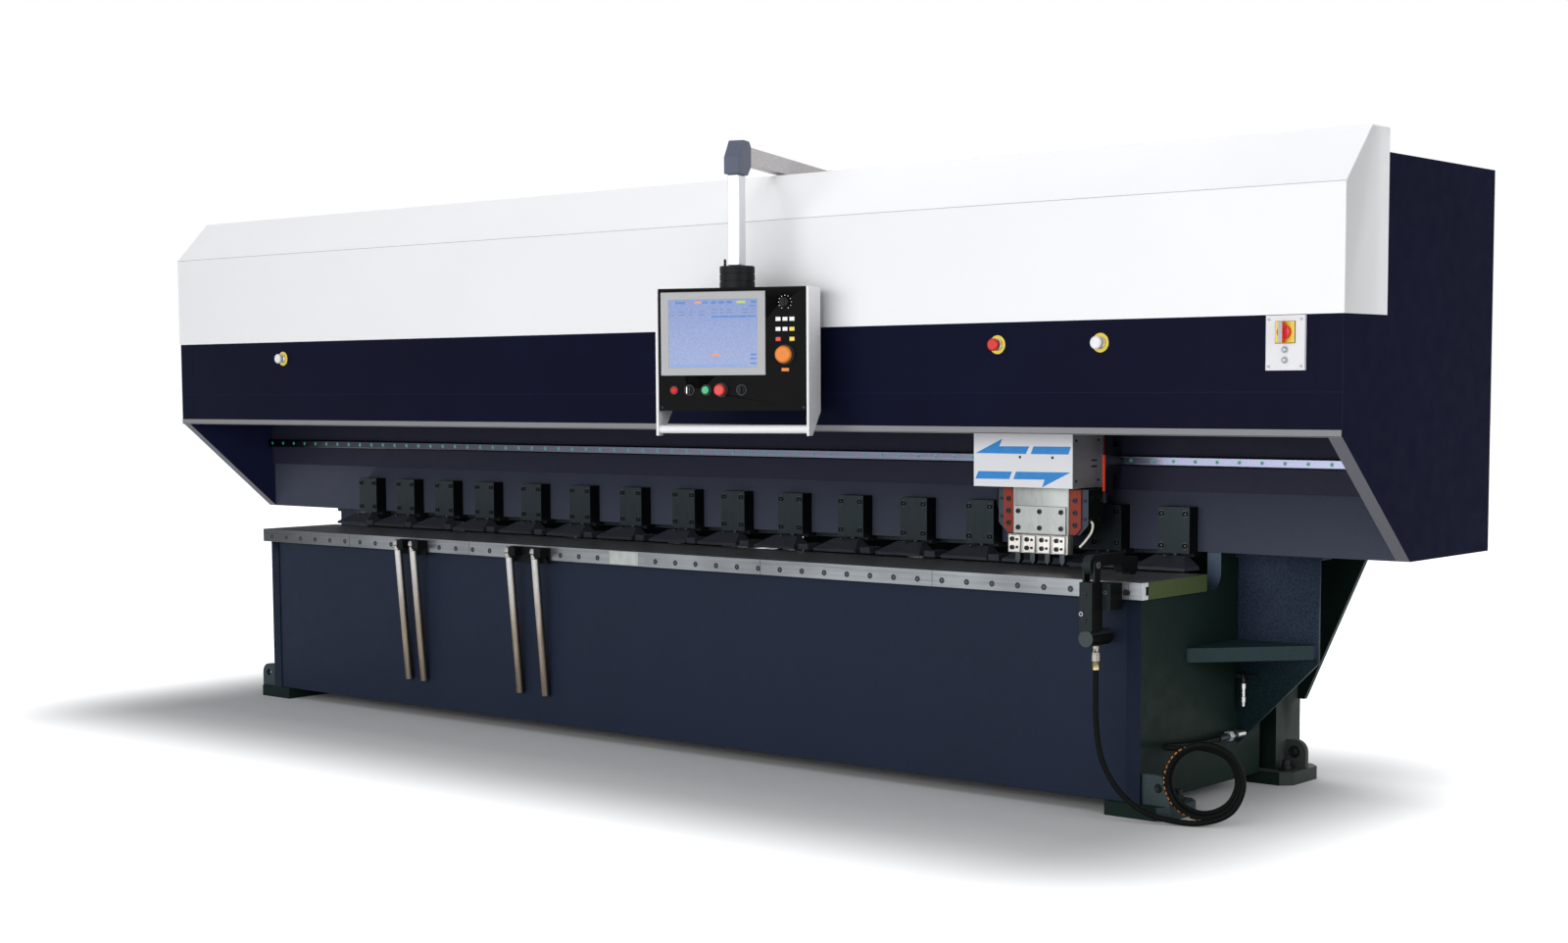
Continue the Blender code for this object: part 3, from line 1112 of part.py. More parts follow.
def head_housing():
    """Housing that guides the tool slide, with its gibs and the feed motor on top."""
    wide = HOUSING_HALF_WIDTH
    neck = HOUSING_NECK_HALF_WIDTH
    cut_corner = HOUSING_CHAMFER
    low_outline = [
        (HEAD_X - wide + cut_corner, HOUSING_BOTTOM_Z), (HEAD_X + wide - cut_corner, HOUSING_BOTTOM_Z),
        (HEAD_X + wide, HOUSING_BOTTOM_Z + cut_corner), (HEAD_X + wide, HOUSING_SHOULDER_Z),
        (HEAD_X - wide, HOUSING_SHOULDER_Z), (HEAD_X - wide, HOUSING_BOTTOM_Z + cut_corner),
    ]
    lower = prism("Y", low_outline, HOUSING_FRONT_Y, HOUSING_BACK_Y)
    upper = box((HEAD_X - neck, HOUSING_FRONT_Y + 0.0005, HOUSING_SHOULDER_Z - 0.015),
                (HEAD_X + neck, SADDLE_FRONT_Y - GAP, HOUSING_TOP_Z))
    gib = GIB_INNER + GIB_WIDTH
    gib_outline = [
        (HEAD_X - gib + 0.020, HOUSING_BOTTOM_Z + 0.001), (HEAD_X + gib - 0.020, HOUSING_BOTTOM_Z + 0.001),
        (HEAD_X + gib, HOUSING_BOTTOM_Z + 0.021), (HEAD_X + gib, HOUSING_SHOULDER_Z - 0.001),
        (HEAD_X - gib, HOUSING_SHOULDER_Z - 0.001), (HEAD_X - gib, HOUSING_BOTTOM_Z + 0.021),
    ]
    gibs = prism("Y", gib_outline, HOUSING_FRONT_Y - GIB_PROUD, HOUSING_FRONT_Y + 0.002)
    half_motor = FEED_MOTOR_SIZE / 2
    motor = box((HEAD_X - half_motor, SCREW_Y - half_motor, HOUSING_TOP_Z - 0.001),
                (HEAD_X + half_motor, SCREW_Y + half_motor, HOUSING_TOP_Z + FEED_MOTOR_HEIGHT))
    channel = SLIDE_HALF_WIDTH + RUN
    under_top = HOUSING_TOP_Z - TOP_PLATE
    slide_back = SLIDE_FRONT_Y + SLIDE_THICKNESS + RUN
    way = box((HEAD_X - channel, HOUSING_FRONT_Y - 0.05, HOUSING_BOTTOM_Z - 0.01), (HEAD_X + channel, slide_back, under_top))
    nut = NUT_HALF_WIDTH + RUN
    nut_low = SLIDE_BOTTOM_Z + NUT_RISE - 0.030
    nut_way = box((HEAD_X - nut, slide_back - 0.002, nut_low), (HEAD_X + nut, NUT_BACK_Y + RUN, under_top))
    bore = rod("Z", (HEAD_X, SCREW_Y), SCREW_RADIUS + GAP, nut_low - 0.060, HOUSING_TOP_Z + 0.020, 20)
    return piece("head_housing", "dark_steel", lower, (upper, gibs, motor), (way, nut_way, bore))


def feed_screw():
    """Screw that raises and lowers the tool slide."""
    nut_low = SLIDE_BOTTOM_Z + NUT_RISE - 0.030
    shape = rod("Z", (HEAD_X, SCREW_Y), SCREW_RADIUS, nut_low - 0.055, HOUSING_TOP_Z + 0.015, 20)
    return piece("feed_screw", "bright_steel", shape)


def tool_slide():
    """Vertical slide with its nut behind and a bolted plate in front."""
    top = SLIDE_BOTTOM_Z + SLIDE_HEIGHT
    back = SLIDE_FRONT_Y + SLIDE_THICKNESS
    half = SLIDE_HALF_WIDTH
    body = box((HEAD_X - half, SLIDE_FRONT_Y, SLIDE_BOTTOM_Z), (HEAD_X + half, back, top))
    nut = box((HEAD_X - NUT_HALF_WIDTH, back - OVERLAP, SLIDE_BOTTOM_Z + NUT_RISE),
              (HEAD_X + NUT_HALF_WIDTH, NUT_BACK_Y, SLIDE_BOTTOM_Z + NUT_RISE + NUT_HEIGHT))
    plate = box((HEAD_X - PLATE_HALF_WIDTH, SLIDE_FRONT_Y - PLATE_THICKNESS, SLIDE_BOTTOM_Z + 0.003),
                (HEAD_X + PLATE_HALF_WIDTH, SLIDE_FRONT_Y + 0.002, SLIDE_BOTTOM_Z + 0.003 + PLATE_HEIGHT))
    bore = rod("Z", (HEAD_X, SCREW_Y), SCREW_RADIUS + GAP, SLIDE_BOTTOM_Z + NUT_RISE - 0.01,
               SLIDE_BOTTOM_Z + NUT_RISE + NUT_HEIGHT + 0.01, 20)
    return piece("tool_slide", "bright_steel", body, (nut, plate), (bore,))


def tool_holder():
    """Holder block under the slide with four grooving tools."""
    top = SLIDE_BOTTOM_Z - GAP
    bottom = top - HOLDER_HEIGHT
    back = HOLDER_FRONT_Y + HOLDER_DEPTH
    shoulder = HOUSING_FRONT_Y - GIB_PROUD - RUN        # the wide part passes in front of the gibs
    left, right = HEAD_X - HOLDER_HALF_WIDTH, HEAD_X + HOLDER_HALF_WIDTH
    heel_left, heel_right = HEAD_X - SLIDE_HALF_WIDTH, HEAD_X + SLIDE_HALF_WIDTH
    outline = [(left, HOLDER_FRONT_Y), (right, HOLDER_FRONT_Y), (right, shoulder), (heel_right, shoulder),
               (heel_right, back), (heel_left, back), (heel_left, shoulder), (left, shoulder)]
    body = prism("Z", outline, bottom, top)
    middle_y = HOLDER_FRONT_Y + HOLDER_DEPTH / 2
    tools = bmesh.new()
    half = TOOL_WIDTH / 2
    for i in range(4):
        x = HEAD_X + (i - 1.5) * TOOL_PITCH
        tip = bottom - TOOL_LENGTH
        outline = [(x - half, bottom + OVERLAP), (x - half, tip + 0.011), (x - 0.0015, tip), (x + 0.0015, tip),
                   (x + half, tip + 0.011), (x + half, bottom + OVERLAP)]
        add_prism(tools, "Y", outline, middle_y - half, middle_y + half)
    return piece("tool_holder", "bright_steel", body, (tools,))


def head_cover():
    """Sheet cover over the head and the carriage drive, open behind and below."""
    left = HEAD_X - COVER_LEFT
    right = HEAD_X + COVER_RIGHT
    back = SADDLE_FRONT_Y - GAP
    top = COVER_BOTTOM_Z + COVER_HEIGHT
    body = box((left, COVER_FRONT_Y, COVER_BOTTOM_Z), (right, back, top))
    hollow = box((left + COVER_WALL, COVER_FRONT_Y + COVER_WALL, COVER_BOTTOM_Z - 0.01),
                 (right - COVER_WALL, back + 0.01, top - COVER_WALL))
    return piece("head_cover", "white", body, cut=(hollow,))


def head_air_tube():
    """Air tube from an elbow on the housing's side up into the cover."""
    foot_z = HOUSING_BOTTOM_Z + AIR_TUBE_FOOT
    top_z = foot_z + AIR_TUBE_TOP
    x = HEAD_X + HOUSING_HALF_WIDTH + AIR_TUBE_OUT
    shape = rod("Z", (x, AIR_TUBE_Y), AIR_TUBE_RADIUS, foot_z, top_z, 16)
    elbow = rod("X", (AIR_TUBE_Y, foot_z), 0.008, HEAD_X + HOUSING_HALF_WIDTH + GAP, x + 0.008, 16)
    collar = rod("Z", (x, AIR_TUBE_Y), 0.008, foot_z - 0.004, foot_z + 0.022, 16)
    inlet = rod("X", (AIR_TUBE_Y, top_z - AIR_TUBE_RADIUS), AIR_TUBE_RADIUS, HEAD_X + COVER_RIGHT + GAP, x, 16)
    return piece("head_air_tube", "orange", shape, (elbow, collar, inlet))


# ================================================================ back gauge
def backgauge_beam():
    """Back-gauge beam with fingers that stop the sheet and a nut bracket for its screw."""
    bottom = REAR_PANEL_TOP_Z + 0.005 + GAP
    half = GAUGE_LENGTH / 2
    beam = box((-half, GAUGE_REST_Y, bottom), (half, GAUGE_REST_Y + GAUGE_DEPTH, bottom + GAUGE_HEIGHT))
    fingers = bmesh.new()
    for x in (-1.6, -0.9, -0.3, 0.3, 0.9, 1.6):
        add_box(fingers, (x - 0.030, GAUGE_REST_Y + 0.0005, bottom + GAUGE_HEIGHT - 0.010),
                (x + 0.030, GAUGE_REST_Y + 0.015, TABLE_TOP_Z + 0.025))
    screw_z = TABLE_TOP_Z - GAUGE_SCREW_DROP
    bracket = box((-GAUGE_BRACKET_HALF_WIDTH, GAUGE_REST_Y + 0.001, bottom + 0.010),
                  (GAUGE_BRACKET_HALF_WIDTH, GAUGE_REST_Y + GAUGE_DEPTH - 0.001, screw_z + GAUGE_BRACKET_DEPTH))
    bore = rod("Y", (0.0, screw_z), GAUGE_SCREW_RADIUS + GAP, GAUGE_REST_Y - 0.01, GAUGE_REST_Y + GAUGE_DEPTH + 0.01, 20)
    return piece("backgauge_beam", "bright_steel", beam, (fingers, bracket), (bore,))


def backgauge_screw():
    """Ball screw of the back gauge with its belt wheel at the rear."""
    screw_z = TABLE_TOP_Z - GAUGE_SCREW_DROP
    wheel = BEAM_BACK_Y + GAP
    profile = [(GAUGE_ARM_FRONT_Y - 0.005, GAUGE_SCREW_RADIUS), (wheel, GAUGE_SCREW_RADIUS),
               (wheel, 0.028), (wheel + 0.016, 0.028)]
    return piece("backgauge_screw", "bright_steel", turned("Y", (0.0, screw_z), profile, 20))


# ================================================================ sheet support arms
def support_lean():
    """Angle at which a hanging support arm rests against the front panel."""
    reach = BASE_FRONT_Y + FRONT_PANEL_RECESS - GAP - SUPPORT_RADIUS - SUPPORT_PIVOT_Y
    return math.asin(reach / SUPPORT_LENGTH)


def support_arm(name, x):
    """Round arm with an eye that swings up to carry a large sheet."""
    turn = bpy.data.objects.new(name + "_pivot", None)
    turn.location = (x, SUPPORT_PIVOT_Y, SUPPORT_PIVOT_Z)
    turn.rotation_euler = (support_lean(), 0.0, 0.0)
    bpy.context.scene.collection.objects.link(turn)
    eye = rod("X", (0.0, 0.0), SUPPORT_RADIUS, -SUPPORT_EYE_WIDTH / 2, SUPPORT_EYE_WIDTH / 2, 20)
    neck = box((-SUPPORT_EYE_WIDTH / 2 + 0.0005, -0.012, -SUPPORT_SHOULDER - 0.004),
               (SUPPORT_EYE_WIDTH / 2 - 0.0005, 0.012, 0.0))
    bar = rod("Z", (0.0, 0.0), SUPPORT_RADIUS, -SUPPORT_LENGTH, -SUPPORT_SHOULDER, 24)
    bore = rod("X", (0.0, 0.0), 0.007 + GAP, -0.03, 0.03, 16)
    return piece(name, "bright_steel", eye, (neck, bar), (bore,), turn)


def support_bracket(name, pair):
    """Bracket on the edge strip that carries the pins of two support arms."""
    back = STRIP_FRONT_Y - GAP
    front = back - BRACKET_PLATE
    top = SUPPORT_PIVOT_Z + SUPPORT_PIVOT_DROP - 0.006
    low = (pair[0] - 0.020, front, top - BRACKET_HEIGHT)
    plate = box(low, (pair[1] + BRACKET_WIDTH, back, top))
    lugs = bmesh.new()
    pins = bmesh.new()
    for x in pair:
        near = x + SUPPORT_EYE_WIDTH / 2 + GAP
        add_box(lugs, (near, SUPPORT_PIVOT_Y - SUPPORT_RADIUS, SUPPORT_PIVOT_Z - 0.018),
                (x + BRACKET_WIDTH - 0.004, back - 0.001, top - 0.0005))
        pin = circle((SUPPORT_PIVOT_Y, SUPPORT_PIVOT_Z), 0.007, 16)
        add_prism(pins, "X", pin, x - SUPPORT_EYE_WIDTH / 2 - 0.004, near + 0.004)
    return piece(name, "black_steel", plate, (lugs, pins))


# ================================================================ side clamp
def side_clamp_body():
    """Body of the side clamp: bracket, ears and air cylinder."""
    x = SIDE_CLAMP_X
    half = SIDE_BODY_WIDTH / 2
    body_back = SIDE_BODY_FRONT_Y + SIDE_BODY_DEPTH
    body = box((x - half, SIDE_BODY_FRONT_Y, SIDE_BODY_BOTTOM_Z), (x + half, body_back, SIDE_BODY_TOP_Z))
    top = TABLE_TOP_Z - 0.002
    bracket = box((x - half + 0.001, body_back - OVERLAP, top - SIDE_BRACKET_HEIGHT),
                  (x + SIDE_BRACKET_RIGHT, STRIP_FRONT_Y - GAP, top))
    ears = bmesh.new()
    inner = LEVER_WIDTH / 2 + GAP
    crown = arc((LEVER_PIVOT_Y, LEVER_PIVOT_Z), 0.016, 180, 0, 8)
    outline = [(LEVER_PIVOT_Y - 0.016, SIDE_BODY_TOP_Z - OVERLAP), *crown,
               (LEVER_PIVOT_Y + 0.016, SIDE_BODY_TOP_Z - OVERLAP)]
    for side in (-1, 1):
        add_prism(ears, "X", outline, x + side * inner, x + side * (inner + EAR_THICKNESS))
    cylinder = rod("Y", (x, CYLINDER_Z), CYLINDER_RADIUS, SIDE_BODY_FRONT_Y + 0.001, CYLINDER_BACK_Y, 28)
    pin_hole = rod("X", (LEVER_PIVOT_Y, LEVER_PIVOT_Z), LEVER_PIN_RADIUS + GAP, x - 0.05, x + 0.05, 16)
    return piece("side_clamp_body", "black_steel", body, (bracket, ears, cylinder), (pin_hole,))


def side_clamp_lever():
    """Lever that reaches over the table's edge, with its pin."""
    x = SIDE_CLAMP_X
    half = LEVER_WIDTH / 2
    top = LEVER_PIVOT_Z + LEVER_TOP
    under = top - 0.036
    nose = arc((LEVER_PIVOT_Y, LEVER_PIVOT_Z), LEVER_TOP, 270, 90, 12)
    outline = [*nose, (LEVER_BACK_Y, top), (LEVER_BACK_Y + 0.012, top - 0.014), (LEVER_PAD_BACK_Y, top - 0.018),
               (LEVER_PAD_BACK_Y, TABLE_TOP_Z + 0.022), (LEVER_PAD_BACK_Y - 0.012, TABLE_TOP_Z + 0.022),
               (LEVER_PAD_BACK_Y - 0.014, TABLE_TOP_Z + LEVER_PAD_RISE),
               (LEVER_PAD_BACK_Y - 0.046, TABLE_TOP_Z + LEVER_PAD_RISE),
               (LEVER_PAD_BACK_Y - 0.048, TABLE_TOP_Z + 0.022), (LEVER_BACK_Y + 0.002, TABLE_TOP_Z + 0.022),
               (LEVER_BACK_Y - 0.020, under), (LEVER_PIVOT_Y + 0.045, under)]
    pin = rod("X", (LEVER_PIVOT_Y, LEVER_PIVOT_Z), LEVER_PIN_RADIUS, x - half - 0.007, x + half + 0.007, 16)
    return piece("side_clamp_lever", "black_steel", prism("X", outline, x - half, x + half), (pin,))


def hose_fitting():
    """Brass coupling under the side clamp's cylinder."""
    top = CYLINDER_Z - CYLINDER_RADIUS - GAP
    bottom = top - COUPLING_LENGTH
    profile = [(bottom, COUPLING_RADIUS), (bottom + 0.026, COUPLING_RADIUS), (bottom + 0.027, 0.014),
               (bottom + 0.047, 0.014), (bottom + 0.048, 0.010), (top, 0.010)]
    return piece("hose_fitting", "brass", turned("Z", (SIDE_CLAMP_X, COUPLING_Y), profile, 20))


def wall_fitting():
    """Coupling on the side plate: a stub out of the wall and the ferrule along it."""
    x = SIDE_OUTER_X + WALL_COUPLING_OUT
    stub = rod("X", (WALL_COUPLING_Y, WALL_COUPLING_Z), 0.012, SIDE_OUTER_X + GAP, x, 20)
    knee = rod("Y", (x, WALL_COUPLING_Z), 0.013, WALL_COUPLING_Y - 0.034, WALL_COUPLING_Y + 0.014, 20)
    end = WALL_COUPLING_Y - WALL_COUPLING_REACH
    ferrule = rod("Y", (x, WALL_COUPLING_Z), 0.0115, end, WALL_COUPLING_Y - 0.030, 20)
    return piece("wall_fitting", "bright_steel", knee, (stub, ferrule))


# ================================================================ hose
def hose_route():
    """Hand-chosen places the hose passes, from the clamp's coupling to the wall's."""
    route = [(SIDE_CLAMP_X, COUPLING_Y, CYLINDER_Z - CYLINDER_RADIUS - 2 * GAP - COUPLING_LENGTH)]
    route += [(SIDE_CLAMP_X + x, COUPLING_Y, z) for x, z in HOSE_DROP_POINTS]
    route += [(SIDE_OUTER_X + x, RAIL_FACE_Y + y, z) for x, y, z in HOSE_FLOOR_POINTS]
    along = (math.cos(COIL_HEADING), math.sin(COIL_HEADING))
    away = (-along[1], along[0])
    steps = int(COIL_TURNS * 8)
    for i in range(steps + 1):
        turns = i / 8
        angle = 2 * math.pi * turns - math.pi / 2
        radius = COIL_RADIUS - COIL_SHRINK * turns
        side = radius * math.cos(angle)
        shift = COIL_PITCH * (turns - COIL_TURNS / 2)
        route.append((SIDE_OUTER_X + COIL_OUT + along[0] * side + away[0] * shift,
                      COIL_CENTRE_Y + along[1] * side + away[1] * shift,
                      COIL_CENTRE_Z + radius * math.sin(angle)))
    route += [(SIDE_OUTER_X + x, RAIL_FACE_Y + y, z) for x, y, z in HOSE_RETURN_POINTS]
    end = WALL_COUPLING_Y - WALL_COUPLING_REACH - GAP
    route.append((SIDE_OUTER_X + WALL_COUPLING_OUT, end, WALL_COUPLING_Z))
    return [Vector(place) for place in route]


def smooth_path(route, spacing):
    """Evenly spaced points along a centripetal spline through the route."""
    padded = [2 * route[0] - route[1], *route, 2 * route[-1] - route[-2]]
    fine = []
    for a, b, c, d in zip(padded, padded[1:], padded[2:], padded[3:]):
        t1 = (b - a).length ** 0.5
        t2 = t1 + (c - b).length ** 0.5
        t3 = t2 + (d - c).length ** 0.5
        for i in range(12):
            t = t1 + (t2 - t1) * i / 12
            ab = a * ((t1 - t) / t1) + b * (t / t1)
            bc = b * ((t2 - t) / (t2 - t1)) + c * ((t - t1) / (t2 - t1))
            cd = c * ((t3 - t) / (t3 - t2)) + d * ((t - t2) / (t3 - t2))
            abc = ab * ((t2 - t) / t2) + bc * (t / t2)
            bcd = bc * ((t3 - t) / (t3 - t1)) + cd * ((t - t1) / (t3 - t1))
            fine.append(abc * ((t2 - t) / (t2 - t1)) + bcd * ((t - t1) / (t2 - t1)))
    fine.append(route[-1])
    lengths = [0.0]
    for a, b in zip(fine, fine[1:]):
        lengths.append(lengths[-1] + (b - a).length)
    count = max(2, round(lengths[-1] / spacing))
    points = []
    place = 0
    for i in range(count + 1):
        want = lengths[-1] * i / count
        while place < len(fine) - 2 and lengths[place + 1] < want:
            place += 1
        share = (want - lengths[place]) / (lengths[place + 1] - lengths[place])
        points.append(fine[place].lerp(fine[place + 1], min(1.0, share)))
    return points


def side_clamp_hose():
    """Air hose that hangs from the side clamp, coils on the floor and ends at the wall."""
    points = smooth_path(hose_route(), HOSE_STEP)
    curve = bpy.data.curves.new("side_clamp_hose", "CURVE")
    curve.dimensions = "3D"
    curve.bevel_depth = HOSE_RADIUS
    curve.bevel_resolution = HOSE_SIDES
    curve.use_fill_caps = True
    line = curve.splines.new("POLY")
    line.points.add(len(points) - 1)
    for knot, place in zip(line.points, points):
        knot.co = (*place, 1.0)
    curve.materials.append(finish("rubber"))
    made = bpy.data.objects.new("side_clamp_hose", curve)
    bpy.context.scene.collection.objects.link(made)


def build():
    """Build every sub-part."""
    clear_scene()
    side_frame(-1, "side_frame_left")
    side_frame(1, "side_frame_right")
    base_front_panel()
    base_rear_panel()
    table_top()
    table_edge_strip()
    crossbeam()
    guide_rail("lower_guide_rail", LOWER_RAIL_Z)
    guide_rail("upper_guide_rail", UPPER_RAIL_Z)
    gear_rack()
    clamp_cylinder_row()
    press_foot_row()
    hood_front_panel()
    hood_side(-1, "hood_side_left")
    hood_side(1, "hood_side_right")
    hood_rear_casing()
    hood_cap()
    hood_buttons()
    main_switch()
    swing = swing_arm()
    pendant(swing)
    carriage_saddle()
    carriage_motor()
    drive_pinion()
    head_housing()
    feed_screw()
    tool_slide()
    tool_holder()
    head_cover()
    head_air_tube()
    backgauge_beam()
    backgauge_screw()
    number = 1
    for index, pair in enumerate(SUPPORT_PAIRS):
        support_bracket(f"support_bracket_{index + 1}", pair)
        for x in pair:
            support_arm(f"support_arm_{number}", x)
            number += 1
    side_clamp_body()
    side_clamp_lever()
    hose_fitting()
    wall_fitting()
    side_clamp_hose()


build()
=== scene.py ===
"""Looks of the V-grooving machine: finishes, fasteners, controls and small fittings around its CAD frame."""
import json
import math

import bmesh
import bpy
from bpy.props import FloatProperty, FloatVectorProperty, PointerProperty
from bpy.types import Operator, Panel, PropertyGroup
from mathutils import Matrix, Vector


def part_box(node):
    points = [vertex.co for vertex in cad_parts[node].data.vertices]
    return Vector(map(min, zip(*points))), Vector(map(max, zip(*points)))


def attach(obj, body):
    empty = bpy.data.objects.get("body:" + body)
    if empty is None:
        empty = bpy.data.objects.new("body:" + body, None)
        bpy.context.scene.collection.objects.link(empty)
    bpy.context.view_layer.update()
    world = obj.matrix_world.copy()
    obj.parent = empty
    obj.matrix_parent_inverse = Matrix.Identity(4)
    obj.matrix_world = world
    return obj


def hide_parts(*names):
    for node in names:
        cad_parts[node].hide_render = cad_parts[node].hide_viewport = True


bl_info = {
    "name": "V-grooving machine",
    "version": (1, 0, 0),
    "blender": (4, 5, 0),
    "location": "View3D > Sidebar > Groover",
    "description": "Finishes and fittings of a sheet-metal V-grooving machine",
    "category": "Object",
}

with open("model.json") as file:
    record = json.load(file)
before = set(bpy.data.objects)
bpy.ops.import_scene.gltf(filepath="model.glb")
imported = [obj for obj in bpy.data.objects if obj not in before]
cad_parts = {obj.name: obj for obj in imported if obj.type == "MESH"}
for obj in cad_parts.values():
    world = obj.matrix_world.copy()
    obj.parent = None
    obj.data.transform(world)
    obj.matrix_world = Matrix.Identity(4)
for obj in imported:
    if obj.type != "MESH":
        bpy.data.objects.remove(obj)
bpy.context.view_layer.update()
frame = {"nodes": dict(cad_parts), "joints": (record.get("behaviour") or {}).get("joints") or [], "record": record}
JOINTS = {joint["name"]: joint for joint in frame["joints"]}
BODY_OF = {node: body for body, nodes in frame["record"]["behaviour"]["bodies"].items() for node in nodes}

AXES = {"X": (1, 2, 0), "Y": (0, 2, 1), "Z": (0, 1, 2)}
FACE_FRONT = (math.pi / 2, 0.0, 0.0)
FACE_RIGHT = (0.0, math.pi / 2, 0.0)
FACE_LEFT = (0.0, -math.pi / 2, 0.0)
FACE_BACK = (-math.pi / 2, 0.0, 0.0)
FACE_UP = (0.0, 0.0, 0.0)

# ---------------------------------------------------------------- places read from the frame
RAIL_FACE_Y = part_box("lower_guide_rail")[0][1]
STRIP_FACE_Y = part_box("table_edge_strip")[0][1]
HOOD_LOW, HOOD_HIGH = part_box("hood_front_panel")
HOOD_FACE_Y = HOOD_LOW[1]
HOOD_EDGE = HOOD_LOW[2]
HOOD_HALF = HOOD_HIGH[0]
CAP_LOW, CAP_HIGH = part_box("hood_cap")
HEAD_X = JOINTS["feed_screw_spin"]["pos_m"][0]
SIDE_WALL_X = 2.190
SIDE_CLAMP_X = JOINTS["lever_clamp"]["pos_m"][0]
CLAMP_PLACES = (0.1285, 0.4165, 0.7045, 0.9925, 1.2805, 1.5375, 1.7945, 2.0515)
CLAMPS = [-x for x in reversed(CLAMP_PLACES)] + list(CLAMP_PLACES)
PENDANT_PIVOT = Vector(JOINTS["pendant_turn"]["pos_m"])
PENDANT_AXIS = JOINTS["cycle_press"]["axis"]
PENDANT_TURN = math.atan2(-PENDANT_AXIS[0], PENDANT_AXIS[1])
PENDANT_PLACE = (Matrix.Translation((PENDANT_PIVOT.x, PENDANT_PIVOT.y, 0.0))
                 @ Matrix.Rotation(PENDANT_TURN, 4, "Z"))
PENDANT_FACING = (math.pi / 2, 0.0, PENDANT_TURN)
PENDANT_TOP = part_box("pendant_box")[1][2]
PENDANT_FACE = -0.0585


# ================================================================ settings
def colour_property(label, note, value):
    """A colour that the user may change."""
    return FloatVectorProperty(name=label, description=note, default=value, subtype="COLOR", size=3,
                               min=0.0, max=1.0)


def length_property(label, note, value):
    """A length in metres that the user may change."""
    return FloatProperty(name=label, description=note, default=value, unit="LENGTH", precision=4)


class GrooverColours(PropertyGroup):
    """Colours of the painted and moulded parts."""

    hood: colour_property("Hood", "Powder coat of the hood", (0.0046, 0.0058, 0.0185))
    cap: colour_property("Cap", "Powder coat of the white cap", (0.86, 0.86, 0.87))
    base: colour_property("Base", "Paint of the front panel", (0.0118, 0.0172, 0.0330))
    # the side plates' dark green is the frame paint shown darker: painted shade under the hood
    sides: colour_property("Side plates", "Paint of the side plates and feet", (0.0058, 0.0135, 0.0112))
    outrigger: colour_property("Outriggers", "Paint of the webs and shelves", (0.0105, 0.0165, 0.0290))
    beam: colour_property("Crossbeam", "Paint of the crossbeam's face", (0.0420, 0.0480, 0.0700))
    pad: colour_property("Rail pad", "Paint of the band behind the rail", (0.0150, 0.0165, 0.0300))
    clamps: colour_property("Clamps", "Blackened steel of the clamp blocks", (0.0250, 0.0330, 0.0380))
    arrows: colour_property("Arrows", "Direction arrows on the head cover", (0.035, 0.240, 0.600))
    gibs: colour_property("Gibs", "Red-brown liners beside the slide", (0.210, 0.040, 0.028))
    plugs: colour_property("Rail plugs", "Caps over the rail's screws", (0.010, 0.400, 0.270))


class GrooverSizes(PropertyGroup):
    """Sizes of the fasteners and small fittings."""

    plug_pitch: length_property("Plug pitch", "Distance between the rail's screws", 0.080)
    plug_radius: length_property("Plug radius", "Radius of a rail plug", 0.0055)
    edge_pitch: length_property("Edge screw pitch", "Distance between the table edge screws", 0.100)
    edge_radius: length_property("Edge screw radius", "Head radius of a table edge screw", 0.0085)
    clamp_radius: length_property("Clamp screw radius", "Head radius of a clamp screw", 0.0092)
    ring_radius: length_property("Button ring radius", "Radius of the ring behind a hood button", 0.030)
    edge_break: length_property("Edge break", "Width of the broken edges of plates", 0.0015)


def colours():
    """The scene's colour settings."""
    return bpy.context.scene.groover_colours


def sizes():
    """The scene's size settings."""
    return bpy.context.scene.groover_sizes


# ================================================================ materials
def fill_inputs(tree, node, inputs):
    """Set a node's inputs, each from a value or from another node's socket."""
    for label, value in inputs.items():
        if isinstance(value, bpy.types.NodeSocket):
            tree.links.new(value, node.inputs[label])
        else:
            node.inputs[label].default_value = value


def add_node(tree, kind, inputs=None, **settings):
    """New node with its settings and inputs."""
    node = tree.nodes.new(kind)
    for label, value in settings.items():
        setattr(node, label, value)
    fill_inputs(tree, node, inputs or {})
    return node


def maths(tree, operation, *values):
    """Result of a maths node on values or sockets."""
    return add_node(tree, "ShaderNodeMath", dict(enumerate(values)), operation=operation).outputs[0]


def new_material(name):
    """An empty node material: returns it, its node tree and its Principled shader."""
    made = bpy.data.materials.new(name)
    made.use_nodes = True
    tree = made.node_tree
    return made, tree, tree.nodes["Principled BSDF"]


def object_axes(tree):
    """The three Object coordinates, as sockets."""
    where = add_node(tree, "ShaderNodeTexCoord").outputs["Object"]
    return add_node(tree, "ShaderNodeSeparateXYZ", {"Vector": where}).outputs


def stretched_noise(tree, scale, stretch=(1.0, 1.0, 1.0), detail=4.0):
    """Noise on Object coordinates, stretched along the axes."""
    where = add_node(tree, "ShaderNodeTexCoord").outputs["Object"]
    mapping = add_node(tree, "ShaderNodeMapping", {"Vector": where, "Scale": stretch})
    inputs = {"Vector": mapping.outputs["Vector"], "Scale": scale, "Detail": detail}
    return add_node(tree, "ShaderNodeTexNoise", inputs).outputs["Fac"]


def spread(tree, value, low, high):
    """A noise value moved to the range between low and high."""
    inputs = {"Value": value, "From Min": 0.3, "From Max": 0.7, "To Min": low, "To Max": high}
    return add_node(tree, "ShaderNodeMapRange", inputs).outputs["Result"]


def blend_colours(tree, factor, first, second, blend="MIX"):
    """Colour between two, each given as a colour or a socket."""
    first, second = (value if isinstance(value, bpy.types.NodeSocket) else (*value, 1.0)
                     for value in (first, second))
    inputs = {0: factor, 6: first, 7: second}
    return add_node(tree, "ShaderNodeMix", inputs, data_type="RGBA", blend_type=blend).outputs[2]


